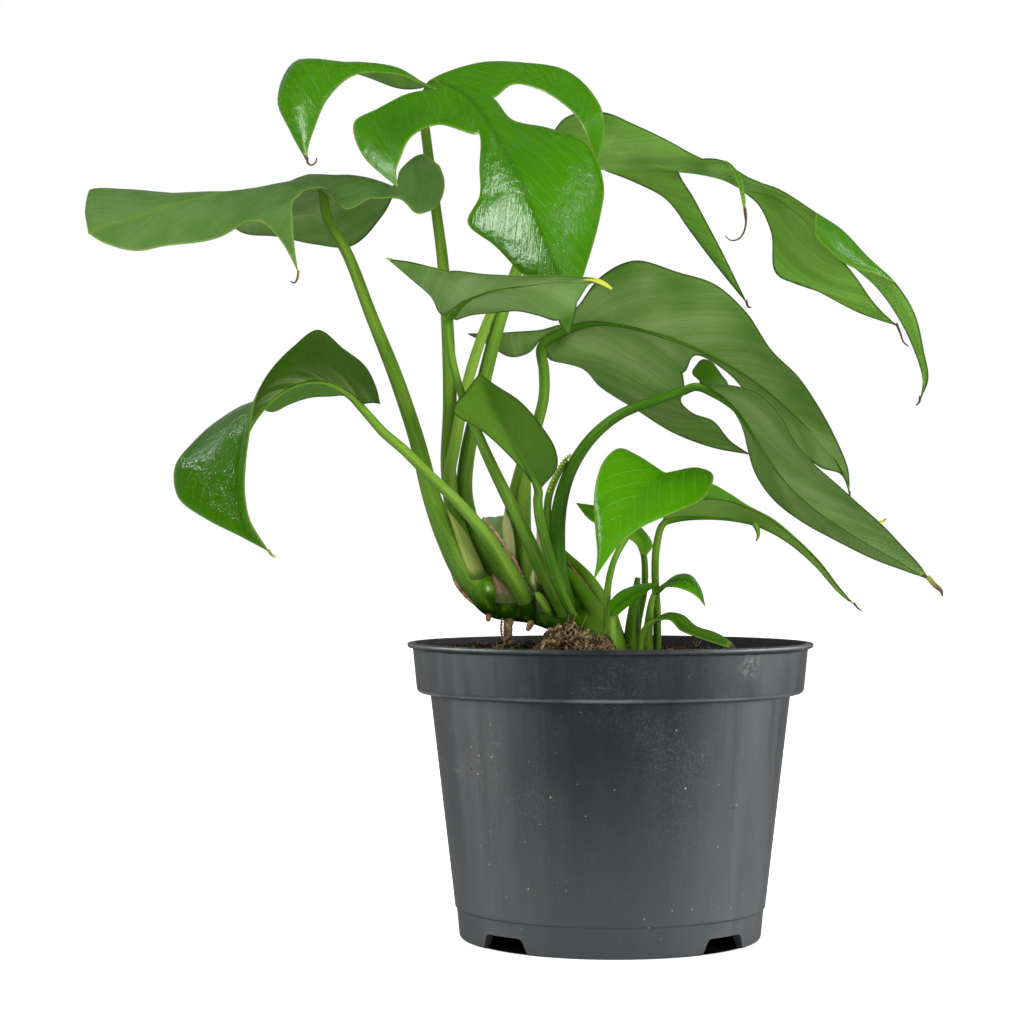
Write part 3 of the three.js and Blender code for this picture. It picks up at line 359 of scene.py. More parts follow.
class Blade:
    """The open sheet of a blade, from cross-sections [edge, midrib, edge] and lobes out of its edges."""

    def __init__(self, leaf):
        self.leaf = leaf
        self.last = len(leaf["sections"]) - 1
        self.up = leaf["up"]
        self.bow = leaf.get("bow", 0.07)
        self.plain = leaf.get("plain")
        self.rails = [Curve([row[k] for row in leaf["sections"]]) for k in range(3)]
        self.bm = bmesh.new()
        self.vein = self.bm.verts.layers.float_vector.new("vein")
        self.lengths = [0.0]
        ribs = [self.rails[1].point(i / RIB_STEPS) for i in range(RIB_STEPS + 1)]
        for one, two in zip(ribs, ribs[1:]):
            self.lengths.append(self.lengths[-1] + (two - one).length)
        self.body()
        for lobe in leaf.get("lobes", []):
            self.lobe(lobe)
        bmesh.ops.remove_doubles(self.bm, verts=self.bm.verts, dist=WELD)
        self.relax()

    def travelled(self, share):
        """Millimetres along the midrib."""
        place = max(0, min(share, 1)) * RIB_STEPS
        i = min(int(place), RIB_STEPS - 1)
        return self.lengths[i] + (self.lengths[i + 1] - self.lengths[i]) * (place - i)

    def upward(self, share):
        across = self.rails[2].point(share) - self.rails[0].point(share)
        return across.cross(self.rails[1].tangent(share)).normalized() * self.up

    def patch(self, rows, marks, flip):
        grid = []
        for points, values in zip(rows, marks):
            line = []
            for point, value in zip(points, values):
                vert = self.bm.verts.new(point)
                vert[self.vein] = value
                line.append(vert)
            grid.append(line)
        for one, two in zip(grid, grid[1:]):
            for j in range(len(one) - 1):
                corners = [one[j], one[j + 1], two[j + 1], two[j]]
                self.bm.faces.new(corners[::-1] if flip else corners)

    def body(self):
        columns = self.last * ALONG
        steps = [(k / ACROSS) ** 1.25 for k in range(ACROSS + 1)]
        rows, marks = [], []
        for i in range(columns + 1):
            way = i / columns
            first, rib, second = (rail.point(way) for rail in self.rails)
            upward = self.upward(min(way, 0.995))
            points, values = [], []
            for edge, sign, order in ((first, -1, steps[::-1]), (second, 1, steps[1:])):
                for s in order:
                    reach = (edge - rib).length
                    points.append(rib.lerp(edge, s) + upward * self.bow * reach * 4 * s * (1 - s))
                    values.append(Vector((self.travelled(way), s * reach * sign, 0)))
            rows.append(points)
            marks.append(values)
        self.patch(rows, marks, self.up < 0)

    def lobe(self, lobe):
        edge = self.rails[0 if lobe["side"] == "first" else 2]
        sign = -1 if lobe["side"] == "first" else 1
        rows = lobe["rows"]

        def spread(w):
            return (lobe["from"] + (lobe["to"] - lobe["from"]) * w) / self.last

        lines = []
        for k in range(3):
            way = spread(k / 2)
            lines.append(Curve([self.rails[1].point(way), edge.point(way), *(row[k] for row in rows)]))
        columns = (lobe["to"] - lobe["from"]) * ALONG
        steps = len(rows) * LOBE
        start = 1 / (len(rows) + 1)

        def blend(places, w):
            return (places[0] * (2 * w * w - 3 * w + 1) + places[1] * (4 * w - 4 * w * w)
                    + places[2] * (2 * w * w - w))

        at_start = [line.point(start) for line in lines]
        grid, marks = [], []
        travelled, last = 0, at_start[1]
        for i in range(steps + 1):
            out = i / steps
            places = [line.point(start + (1 - start) * out) for line in lines]
            travelled += (places[1] - last).length
            last = places[1]
            points, values = [], []
            for j in range(columns + 1):
                w = j / columns
                border = edge.point(spread(w))
                settle = border - blend(at_start, w)
                reach = (border - self.rails[1].point(spread(w))).length
                points.append(blend(places, w) + settle * (1 - out) ** 2)
                values.append(Vector((self.travelled(spread(w)), (reach + travelled) * sign, travelled)))
            grid.append(points)
            marks.append(values)
        self.patch(grid, marks, (lobe["side"] == "second") == (self.up > 0))

    def relax(self):
        """Evens out the sheet inside its border, but not along the midrib unless the blade has no crease."""
        free = [v for v in self.bm.verts if not v.is_boundary and (self.plain or abs(v[self.vein].y) > 0.001)]
        for _ in range(RELAX_PASSES["plain" if self.plain else "creased"]):
            moves = []
            for vert in free:
                around = [edge.other_vert(vert).co for edge in vert.link_edges]
                middle = sum(around, Vector()) / len(around)
                moves.append((middle - vert.co) * RELAX_SHARE)
            for vert, move in zip(free, moves):
                vert.co += move

    def shell(self, form, thick, tone, seed, ripple=0.35, dry=(), dark=()):
        """The sheet with its thickness: thin at the border, a little wavy, and a groove over the midrib."""
        young, grey, painted_brightness, halves, top, facing = tone
        verts = list(self.bm.verts)
        self.bm.normal_update()
        border = [v.co for v in verts if v.is_boundary]
        border += [(e.verts[0].co + e.verts[1].co) / 2 for e in self.bm.edges if e.is_boundary]
        to_border = nearest_of(border)
        to_rib = nearest_of([self.rails[1].point(i / 300) for i in range(301)])
        upper, under = [], []
        vein, place, light = [], [], []
        for vert in verts:
            margin = to_border.find(vert.co)[2]
            rib = to_rib.find(vert.co)[2]
            tip = max([0] + [smooth(1, 0, (vert.co - at(spot[:3])).length / spot[3]) for spot in dry])
            wave = noise.noise(vert.co * 0.055 + Vector((seed, 0, 0))) * 1.3
            wave += noise.noise(vert.co * 0.13 + Vector((0, seed, 0))) * 0.7
            lift = ripple * wave * smooth(0, 9, rib) * (0.25 + 0.75 * smooth(0, 6, margin))
            centre = vert.co + vert.normal * lift
            centre.x = max(centre.x, CAD_BOX[0][0] / MM - POT_OFFSET + thick)
            half = thick / 2 * (0.3 + 0.7 * smooth(0, 1.6, margin))
            dip = 0 if self.plain else 0.09 * math.exp(-(rib / 1.6) ** 2)
            along, out = vert[self.vein].x, vert[self.vein].y
            # Painted light: the two halves of the underside get more and less painted brightness, as halves says.
            light.append(1 + halves * smooth(0, 2, abs(out)) * math.copysign(1, out))
            upper.append(centre + vert.normal * (half - dip))
            under.append(centre - vert.normal * half)
            # Painted shade: spots listed in dark darken the blade by their place on the front view; their depth is
            # kept as the vein mark's third number.
            shown = EYE + (vert.co - EYE) * (EYE.y / (EYE.y - vert.co.y))
            shade = max([0] + [smooth(1, 0, math.hypot(shown.x - x, shown.z - z) / size) * painted_shade_depth
                               for x, z, size, painted_shade_depth in dark])
            vein.append(Vector((along, out, shade)))
            place.append(Vector((margin, rib + (5 if self.plain else 0), tip)))
        number = {vert: i for i, vert in enumerate(verts)}
        total = len(verts)
        faces = []
        for face in self.bm.faces:
            ring = [number[v] for v in face.verts]
            faces += [ring, [i + total for i in ring[::-1]]]
        for edge in self.bm.edges:
            if edge.is_boundary:
                loop = edge.link_loops[0]
                a, b = number[loop.vert], number[loop.link_loop_next.vert]
                faces.append([b, a, a + total, b + total])
        # The mood mark carries young, grey and each side's painted brightness.
        mood = [Vector((young, grey, painted_brightness * top))] * total
        mood += [Vector((young, grey, -painted_brightness * share * facing)) for share in light]
        form.add(upper + under, faces, vein=vein * 2, place=place * 2, mood=mood)


# Node trees.
class Number:
    """A socket that carries a number; its sums and products are nodes too."""

    def __init__(self, recipe, socket):
        self.recipe, self.socket = recipe, socket

    def __add__(self, other):
        return self.recipe.math("ADD", self, other)

    def __sub__(self, other):
        return self.recipe.math("SUBTRACT", self, other)

    def __mul__(self, other):
        return self.recipe.math("MULTIPLY", self, other)

    def __truediv__(self, other):
        return self.recipe.math("DIVIDE", self, other)


class Recipe:
    """A node tree in the making; each step gives back its node, or the socket that carries its result."""

    def __init__(self, tree):
        self.tree = tree

    def step(self, kind, inputs=None, **choices):
        node = self.tree.nodes.new(kind)
        for name, value in choices.items():
            setattr(node, name, value)
        for name, value in (inputs or {}).items():
            self.feed(node.inputs[name], value)
        return node

    def feed(self, socket, value):
        value = getattr(value, "socket", value)
        if isinstance(value, bpy.types.NodeSocket):
            self.tree.links.new(value, socket)
        else:
            socket.default_value = value

    def number(self, kind, inputs, **choices):
        return Number(self, self.step(kind, inputs, **choices).outputs[0])

    def math(self, operation, a, b=0.0):
        return self.number("ShaderNodeMath", {0: a, 1: b}, operation=operation)

    def blend(self, amount, a, b):
        """A number between a and b."""
        return self.number("ShaderNodeMix", {0: amount, 2: a, 3: b})

    def parts(self, vector):
        """The three numbers of a vector."""
        return [Number(self, part) for part in self.step("ShaderNodeSeparateXYZ", {0: vector}).outputs]

    def joined(self, *numbers):
        """The vector of up to three numbers."""
        return self.step("ShaderNodeCombineXYZ", dict(enumerate(numbers))).outputs[0]

    def vector(self, operation, result, **inputs):
        """One result of a sum of vectors; the inputs are a, b and Scale."""
        given = {{"a": 0, "b": 1}.get(name, name): value for name, value in inputs.items()}
        return self.step("ShaderNodeVectorMath", given, operation=operation).outputs[result]

    def ramp(self, value, low, high, start=0.0, end=1.0):
        """start at or before low, end at or after high, evenly between."""
        return self.number("ShaderNodeMapRange", {0: value, 1: low, 2: high, 3: start, 4: end},
                           interpolation_type="SMOOTHSTEP")


class Finish(Recipe):
    """A material in the making."""

    def __init__(self, name):
        self.material = bpy.data.materials.new(name)
        self.material.use_nodes = True
        super().__init__(self.material.node_tree)
        self.tree.nodes.clear()
        self.place = self.step("ShaderNodeTexCoord").outputs["Object"]

    def mix(self, amount, a, b):
        """A colour between a and b."""
        a, b = (c if isinstance(c, bpy.types.NodeSocket) else (*c, 1) for c in (a, b))
        return self.step("ShaderNodeMix", {0: amount, 6: a, 7: b}, data_type="RGBA").outputs[2]

    def coats(self, base, *coats):
        """A colour under further ones, each given as (amount, colour)."""
        for amount, tint in coats:
            base = self.mix(amount, base, tint)
        return base

    def mark(self, name):
        """The three numbers of a vector that the mesh carries."""
        vector = self.step("ShaderNodeAttribute", attribute_name=name).outputs["Vector"]
        return [vector, *self.parts(vector)]

    def facing(self):
        return self.step("ShaderNodeNewGeometry").outputs["Normal"]

    def stretched(self, vector, scale, move=(0, 0, 0)):
        return self.step("ShaderNodeMapping", {"Vector": vector, "Scale": scale, "Location": move}).outputs[0]

    def centred(self):
        """The place, measured from the pot's foot."""
        return self.stretched(self.place, (1, 1, 1), (-POT_OFFSET * MM, 0, 0))

    def grain(self, vector, scale, detail=3.0, rough=0.55):
        inputs = {"Vector": vector, "Scale": scale, "Detail": detail, "Roughness": rough}
        return self.number("ShaderNodeTexNoise", inputs)

    def cells(self, vector, scale, feature="DISTANCE_TO_EDGE"):
        return self.number("ShaderNodeTexVoronoi", {"Vector": vector, "Scale": scale}, feature=feature)

    def relief(self, height, distance, strength=1.0, under=None):
        inputs = {"Height": height, "Distance": distance * MM, "Strength": strength}
        if under:
            inputs["Normal"] = under
        return self.step("ShaderNodeBump", inputs).outputs[0]

    def done(self, base, roughness, normal, glow=None, thin=0.0, **fixed):
        """Ends in a surface; thin is the share of light that comes through it, in the colour glow."""
        inputs = {"Base Color": base, "Roughness": roughness, "Normal": normal}
        surface = self.step("ShaderNodeBsdfPrincipled", inputs)
        for name, value in fixed.items():
            surface.inputs[name.replace("_", " ")].default_value = value
        shader = surface.outputs[0]
        if glow:
            through = self.step("ShaderNodeBsdfTranslucent", {"Color": glow, "Normal": normal}).outputs[0]
            shader = self.step("ShaderNodeMixShader", {0: thin, 1: shader, 2: through}).outputs[0]
        self.step("ShaderNodeOutputMaterial", {"Surface": shader})
        return self.material


# Finishes.
def leaf_finish():
    """Living leaf: veins and a pale midrib, glossy above, dull and greyer below, with painted sheen, light and shade,
    and some light comes through.
    """
    leaf = settings("leaf")
    make = Finish("living_leaf")
    _, along, out, shade = make.mark("vein")
    _, margin, rib, tip = make.mark("place")
    _, young, grey, side = make.mark("mood")
    upper = make.math("GREATER_THAN", side, 0)
    # Painted light: this side's painted brightness, which scales its colour below.
    light = make.math("ABSOLUTE", side)
    out = make.math("ABSOLUTE", out)
    patches = make.grain(make.place, 38, 3)
    blotch = make.grain(make.place, 110, 4, 0.6)
    fine = make.grain(make.place, 420, 4, 0.6)
    sway = (make.grain(make.place, 90, 2) - 0.5) * 1.6
    lag = make.math("POWER", out, 1.05) * 1.75
    phase = along - lag + sway
    spacing = leaf.vein / MM
    main = make.math("PINGPONG", phase / spacing, 0.5)
    main = make.ramp(main, 0.0, 0.06, 1, 0)
    run = make.joined(phase, out * 0.09, young)
    minor = make.ramp(make.grain(run, 0.42, 5, 0.62), 0.36, 0.66)
    wide = make.ramp(make.grain(run, 0.06, 3, 0.6), 0.38, 0.62)
    net = make.ramp(make.cells(make.place, 780), 0.0, 0.12, 1, 0)
    edge = make.ramp(margin, 0.15, 0.9, 1, 0)
    midrib = make.ramp(rib, 0.35, 1.5, 1, 0)
    clear = make.ramp(margin, 0.5, 5, 0, 1)
    main = main * clear

    # Painted shade: grey below 0 darkens the underside; it also makes the leaf glossier.
    painted_shade_depth = make.ramp(grey, 0, -1)
    above = make.coats(
        make.mix(young, leaf.upper, leaf.young),
        (make.ramp(patches, 0.3, 0.7, 0, 0.3), (0.06, 0.22, 0.002)),
        # Painted sheen, partly the leaf's own duller tone: grey greys the upper side.
        (grey * 0.8, (0.105, 0.185, 0.06)),
        (make.ramp(blotch, 0.35, 0.65) * make.blend(young, 0.4, 0.15), (0.03, 0.12, 0.003)),
        ((minor + net) * 0.05, leaf.pale),
        (main * make.blend(young, 0.3, 0.26), (0.2, 0.37, 0.05)),
        (midrib * make.blend(young, 0.35, 0.0), leaf.pale),
        (midrib * (young * 0.45), (0.012, 0.07, 0.0)),
        # Painted shade spots.
        (shade, (0.018, 0.11, 0.0)))
    old = make.ramp(grey, -0.7, -1) * make.ramp(rib, 8, 1, 0, 0.8)
    below = make.coats(
        make.mix(young * 0.7, leaf.under, (0.08, 0.21, 0.012)),
        (make.ramp(patches, 0.3, 0.7, 0, 0.3), (0.075, 0.15, 0.025)),
        # Painted sheen, partly the leaf's own duller tone: grey greys the underside.
        (grey * 0.7, (0.19, 0.27, 0.125)),
        (make.ramp(rib, 7, 26, 0, 0.5) * make.ramp(patches, 0.25, 0.6), (0.075, 0.19, 0.02)),
        # Painted shade of broad folds: dark streaks across the underside.
        (wide * 0.55, (0.05, 0.125, 0.008)),
        (make.ramp(patches, 0.5, 0.72) * 0.4, (0.045, 0.11, 0.008)),
        (minor * 0.3, (0.055, 0.12, 0.012)),
        (make.ramp(margin, 0, 12) * make.ramp(blotch, 0.45, 0.7, 0, 0.2), (0.2, 0.3, 0.09)),
        (make.ramp(margin, 0, 9, 0.35, 0) * grey, (0.04, 0.105, 0.006)),
        (main * 0.2, (0.05, 0.12, 0.012)),
        (painted_shade_depth * 0.85, (0.04, 0.115, 0.002)),
        (old * minor, (0.19, 0.27, 0.09)),
        # Painted shade spots.
        (shade, (0.03, 0.10, 0.002)))
    fade = tip * make.ramp(make.grain(make.place, 300, 3), 0.2, 0.6, 0.8, 1.4)
    # Painted light: each side's colour is scaled by its painted brightness.
    both = make.coats(
        make.vector("SCALE", 0, a=make.mix(upper, below, above), Scale=light),
        (fine * 0.16, (0.02, 0.07, 0.004)),
        # Pale rim above, partly the leaf's own paler margin and partly a painted highlight on the rounded edge.
        (edge * make.blend(upper, 0.0, 0.5), (0.22, 0.34, 0.05)),
        (edge * make.blend(upper, 0.85, 0.0), (0.022, 0.05, 0.005)),
        (make.ramp(fade, 0.15, 0.5, 0, 0.3), (0.42, 0.38, 0.05)),
        (make.ramp(fade, 0.5, 0.8), leaf.dry))

    folds = make.joined(phase, out * 0.6)
    crinkle = make.grain(folds, 0.9, 3, 0.6) * 1.3 + make.grain(make.place, 170, 3, 0.6) * 7
    height = (main * 0.5 + minor * 0.5) * make.ramp(upper, 0, 1, 1, -1)
    height = height + fine * 0.25 + make.grain(make.place, 130, 2) * 0.8 + crinkle * upper
    normal = make.relief(height, 0.16, 0.6)
    feather = make.ramp(make.grain(folds, 0.26, 3, 0.6), 0.45, 0.6)
    feather = feather * make.ramp(make.grain(make.place, 150, 3), 0.35, 0.6, 0.2, 1)
    rough = make.blend(make.math("MAXIMUM", grey, 0), make.blend(painted_shade_depth, 0.19, 0.13), 0.34)
    feather = feather * make.blend(painted_shade_depth, 0.2, 0.05)
    rough = make.blend(upper, 0.52, rough + feather)
    rough = rough + (fine - 0.5) * 0.12
    glow = make.mix(upper, (0.22, 0.42, 0.02), (0.16, 0.40, 0.01))
    glow = make.mix(make.ramp(fade, 0.4, 0.8), glow, leaf.dry)
    return make.done(both, rough, normal, glow, 0.16, Specular_IOR_Level=0.16)


def stalk_finish():
    """Green stalk: paler streaks along it, fine ridges, scattered pale dots and dry ends."""
    stem = settings("stem")
    make = Finish("green_stalk")
    strand, *_ = make.mark("strand")
    _, tone, dry, _ = make.mark("look")
    streaks = make.grain(make.stretched(strand, (1.3, 1.3, 0.035)), 1.0, 4, 0.6)
    bands = make.grain(make.stretched(strand, (0.25, 0.25, 0.05)), 1.0, 2)
    blotch = make.grain(make.place, 160, 3)
    base = make.mix(make.ramp(tone + (bands - 0.5) * 0.9, 0.1, 0.9), stem.green, stem.pale)
    base = make.coats(
        base,
        (make.ramp(streaks, 0.5, 0.75, 0, 0.35), (0.24, 0.38, 0.06)),
        (make.ramp(streaks, 0.5, 0.25, 0, 0.5), (0.03, 0.1, 0.004)),
        (make.ramp(blotch, 0.55, 0.8, 0, 0.3), (0.1, 0.13, 0.02)))
    facing = make.parts(make.facing())
    shaded = facing[2] + facing[0] * 0.5
    base = make.mix(make.ramp(shaded, 0.1, -0.9, 0, 0.6) * make.ramp(tone, 1.2, 0.8), base, (0.014, 0.055, 0.002))
    dots = make.ramp(make.cells(make.stretched(strand, (1, 1, 0.5)), 0.9, "F1"), 0.12, 0.2, 1, 0)
    base = make.coats(
        base,
        (dots * 0.1, (0.5, 0.58, 0.3)),
        (make.ramp(dry, 0.1, 0.45, 0, 0.9), (0.46, 0.48, 0.05)),
        (make.ramp(dry, 0.5, 0.9), settings("leaf").dry))
    height = streaks + make.grain(make.place, 900, 3) * 0.3
    normal = make.relief(height, 0.16, 0.7)
    rough = make.ramp(streaks, 0.2, 0.8, 0.3, 0.42) + make.ramp(tone, 0.25, 0.1, 0, 0.2)
    return make.done(base, rough, normal, Specular_IOR_Level=0.12)


def stem_finish():
    """Creeping stem: smooth green, with painted shade on its downward faces and painted light on its upward ones,
    faint uneven rings and a few corky scars.
    """
    stem = settings("stem")
    make = Finish("creeping_stem")
    facing = make.parts(make.facing())[2]
    rough_grain = make.grain(make.place, 260, 4, 0.6)
    wide = make.grain(make.place, 90, 3)
    across, _, above = make.parts(make.place)
    # Painted shade: darker where the surface faces down.
    base = make.mix(make.ramp(facing, -0.7, 0.7), (0.007, 0.035, 0.0), (0.038, 0.12, 0.0))
    base = make.coats(
        base,
        # Painted light: lighter on the upward faces of its upper part.
        (make.ramp(above, 0.104, 0.114, 0, 0.9) * make.ramp(facing, -0.9, 0.2), (0.07, 0.175, 0.005)),
        # Painted light: lighter on the upward faces towards its right end.
        (make.ramp(across, 0.024, 0.031) * make.ramp(facing, -0.5, 0.3), (0.11, 0.23, 0.02)),
        (make.ramp(make.grain(make.stretched(make.place, (1, 1, 0.3)), 420, 3), 0.5, 0.75, 0, 0.4),
         (0.14, 0.25, 0.008)))
    wander = across + make.grain(make.place, 130, 3) * 0.009
    rings = make.math("PINGPONG", wander / 0.0085, 0.5)
    rings = make.ramp(rings, 0.0, 0.05, 1, 0) * make.ramp(rough_grain, 0.4, 0.6)
    base = make.mix(rings * 0.4, base, stem.scar)
    scars = make.ramp(wide + rough_grain * 0.35, 0.8, 0.88)
    base = make.coats(
        base,
        (scars, stem.scar),
        (make.ramp(rough_grain, 0.6, 0.75, 0, 0.4), (0.035, 0.06, 0.008)))
    height = rough_grain - rings * 0.5
    height = height + scars
    normal = make.relief(height, 0.35, 0.8)
    rough = make.blend(scars, 0.36, 0.8)
    return make.done(base, rough, normal, Specular_IOR_Level=0.13)


def root_finish():
    """Aerial root: brown and corky, with pale dots along its sides."""
    stem = settings("stem")
    make = Finish("aerial_root")
    strand, *_ = make.mark("strand")
    grain = make.grain(make.place, 500, 5, 0.65)
    base = make.mix(make.ramp(grain, 0.35, 0.7), (0.13, 0.08, 0.03), stem.root)
    dots = make.ramp(make.cells(strand, 0.9, "F1"), 0.18, 0.3, 1, 0)
    base = make.mix(dots * 0.8, base, (0.55, 0.47, 0.33))
    ridges = make.grain(make.stretched(strand, (2, 2, 0.2)), 1, 3)
    height = grain + ridges + dots
    return make.done(base, 0.85, make.relief(height, 0.3, 0.9))


def sheath_finish(name, fresh, dark, mottled=1.0):
    """Thin papery sheath with fine lengthwise veins, mottled where it is dry, and green at its foot."""
    make = Finish(name)
    _, along, out, _ = make.mark("vein")
    margin = make.mark("place")[1]
    lines = make.joined(out * 2.2, along * 0.1)
    lines = make.grain(lines, 1, 4, 0.6)
    patches = make.grain(make.place, 220, 3)
    base = make.mix(make.ramp(lines, 0.35, 0.65), fresh, dark)
    base = make.coats(
        base,
        (make.ramp(patches, 0.5, 0.7, 0, 0.8 * mottled), tuple((c * 0.45 for c in dark))),
        (make.ramp(make.grain(make.place, 700, 4, 0.65), 0.4, 0.7, 0, 0.5 * mottled),
         tuple((c * 0.6 for c in fresh))))
    foot = along + patches * 5
    base = make.coats(
        base,
        (make.ramp(foot, 4, 7.5, 0.85, 0), (0.035, 0.1, 0.006)),
        (make.ramp(margin, 0.1, 0.7, 0.7 * mottled, 0), settings("leaf").dry))
    normal = make.relief(lines + patches, 0.3, 0.8)
    return make.done(base, 0.62, normal, base, 0.25)


def soil_finish():
    """Moist potting mix: dark, crumbly, with bits of bark."""
    soil = settings("soil")
    make = Finish("potting_mix")
    coarse = make.grain(make.place, 380, 6, 0.7)
    bits = make.cells(make.place, 420, "F1")
    base = make.mix(make.ramp(coarse, 0.4, 0.7), soil.dark, (0.05, 0.03, 0.016))
    base = make.mix(make.ramp(bits, 0.16, 0.05, 0, 0.8), base, soil.bark)
    height = coarse + make.ramp(bits, 0.5, 0.1)
    return make.done(base, 0.9, make.relief(height, 1.2, 0.9))


def crumb_finish(name, choices, rough=0.85):
    """Loose bits, each with its own shade between the colours given."""
    make = Finish(name)
    chance = make.step("ShaderNodeAttribute", attribute_name="chance").outputs["Fac"]
    grain = make.grain(make.place, 900, 4, 0.65)
    base = choices[0]
    for i, shade in enumerate(choices[1:]):
        step = (i + 1) / len(choices)
        base = make.mix(make.ramp(chance, step - 0.04, step + 0.04), base, shade)
    base = make.mix(make.ramp(grain, 0.35, 0.7, 0.6, 0), base, (0.012, 0.008, 0.005))
    return make.done(base, rough, make.relief(grain, 0.35, 0.9))


def coir_finish():
    """Fibrous root plug: matted brown coir with soil in it."""
    make = Finish("coir_plug")
    turned = make.step("ShaderNodeMapping", {"Vector": make.place, "Rotation": (0.4, 0.9, 0.3)}).outputs[0]
    one = make.grain(make.stretched(make.place, (1, 0.16, 0.5)), 1500, 4, 0.6)
    two = make.grain(make.stretched(turned, (0.15, 1, 0.6)), 1300, 4, 0.6)
    strands = make.math("MAXIMUM", one, two)
    base = make.mix(make.ramp(strands, 0.42, 0.68), (0.014, 0.009, 0.005), (0.36, 0.25, 0.13))
    base = make.mix(make.ramp(make.grain(make.place, 240, 3), 0.45, 0.62, 0, 0.85), base, (0.018, 0.012, 0.008))
    return make.done(base, 0.9, make.relief(strands, 0.8, 1.0))


def plastic_finish():
    """Moulded pot: dark grey, faint lighter upright bands, fine grain, scuffs, a film of dust, lighter towards the
    bottom, a painted highlight along the collar's step and painted shade inside.
    """
    pot = settings("pot")
    make = Finish("moulded_pot")
    centre = make.centred()
    x, y, z = make.parts(centre)
    turn = make.math("ARCTAN2", y, x)
    ring = make.joined(make.math("COSINE", turn) * 6, make.math("SINE", turn) * 6, z * 9)
    bands = make.grain(ring, 1.6, 4, 0.6)
    fine = make.grain(make.place, 1500, 3, 0.6)
    cloud = make.grain(make.place, 34, 5, 0.65)
    scratches = make.grain(make.stretched(make.place, (1, 1, 0.05)), 900, 3, 0.7)
    hair = make.grain(make.stretched(make.place, (0.08, 0.08, 1)), 700, 4, 0.7)
    scuffs = make.ramp(hair, 0.62, 0.7) * make.ramp(cloud, 0.5, 0.62)
    base = make.mix(make.ramp(bands, 0.3, 0.7, 0, 0.5), pot.plastic, tuple(c * 1.55 for c in pot.plastic))
    base = make.mix(scuffs * 0.5, base, pot.scuff)
    film = make.ramp(cloud, 0.35, 0.75) * make.ramp(fine, 0.45, 0.7)
    base = make.coats(
        base,
        (film * 0.35, (0.09, 0.085, 0.075)),
        # Lighter towards the bottom.
        (make.ramp(z, 0.075, 0.0, 0, 0.7), (0.055, 0.06, 0.063)))
    # Painted highlight: a thin light line along the step under the collar.
    step = make.ramp(z, 0.0782, 0.0788) * make.ramp(z, 0.0798, 0.0792)
    base = make.mix(step * make.ramp(cloud, 0.3, 0.7, 0.2, 0.8), base, (0.12, 0.128, 0.132))
    aside = make.vector("LENGTH", "Value", a=make.stretched(centre, (1, 1, 1), (-0.0395, 0.047, -0.0893)))
    smudge = make.ramp(aside, 0.0065, 0.001) * make.ramp(make.grain(make.place, 600, 4, 0.7), 0.45, 0.6)
    base = make.mix(smudge * 0.8, base, (0.11, 0.112, 0.11))
    rim = make.ramp(z, 0.0925, 0.0945)
    base = make.mix(rim * make.ramp(cloud, 0.4, 0.6) * 0.5, base, pot.scuff)
    specks = make.ramp(make.cells(make.place, 210, "F1"), 0.045, 0.075, 1, 0)
    base = make.mix(specks * make.ramp(cloud, 0.45, 0.6), base, pot.dust)
    # Painted shade: the inside of the wall is darkened and made rougher.
    outward = make.vector("DOT_PRODUCT", "Value", a=make.facing(), b=make.stretched(centre, (1, 1, 0)))
    inner = make.ramp(outward, 0.0, -0.03)
    base = make.mix(inner * 0.85, base, (0.0045, 0.0045, 0.0045))
    rough = make.ramp(bands, 0.25, 0.75, 0.36, 0.5)
    rough = rough + (scuffs + film) * 0.2
    rough = rough + inner * 0.5
    height = fine * 0.5 + scratches * 0.35
    normal = make.relief(height, 0.05, 0.5, make.relief(make.grain(ring, 5, 2), 0.5, 0.12))
    return make.done(base, rough, normal, Specular_IOR_Level=0.25)


def floor_finish():
    """White studio paper: it glows, more away from the pot and less in reflections, shows grey in reflections, and
    has a painted shadow inside the pot's foot ring.
    """
    make = Finish("studio_paper")
    grain = make.grain(make.place, 300, 3)
    tone = settings("stage").floor
    base = make.mix(grain * 0.02, tone, (0.8, 0.8, 0.8))
    mirrored = make.step("ShaderNodeLightPath").outputs["Is Glossy Ray"]
    base = make.mix(mirrored, base, (0.2, 0.2, 0.2))
    centre = make.centred()
    away = make.vector("LENGTH", "Value", a=centre)
    outside = make.ramp(away, 0.0465, 0.0478)
    # Painted shadow: the floor inside the pot's foot ring is near black.
    surface = make.step("ShaderNodeBsdfDiffuse", {"Color": make.mix(outside, (0.01, 0.01, 0.01), base)}).outputs[0]
    glow = make.ramp(away, 0.2, 0.9, 0.6, 1.0) * outside
    glow = glow * make.blend(mirrored, 1.0, 0.2)
    light = make.step("ShaderNodeEmission", {"Color": (1, 1, 1, 1), "Strength": glow}).outputs[0]
    both = make.step("ShaderNodeAddShader", {0: surface, 1: light}).outputs[0]
    make.step("ShaderNodeOutputMaterial", {"Surface": both})
    return make.material


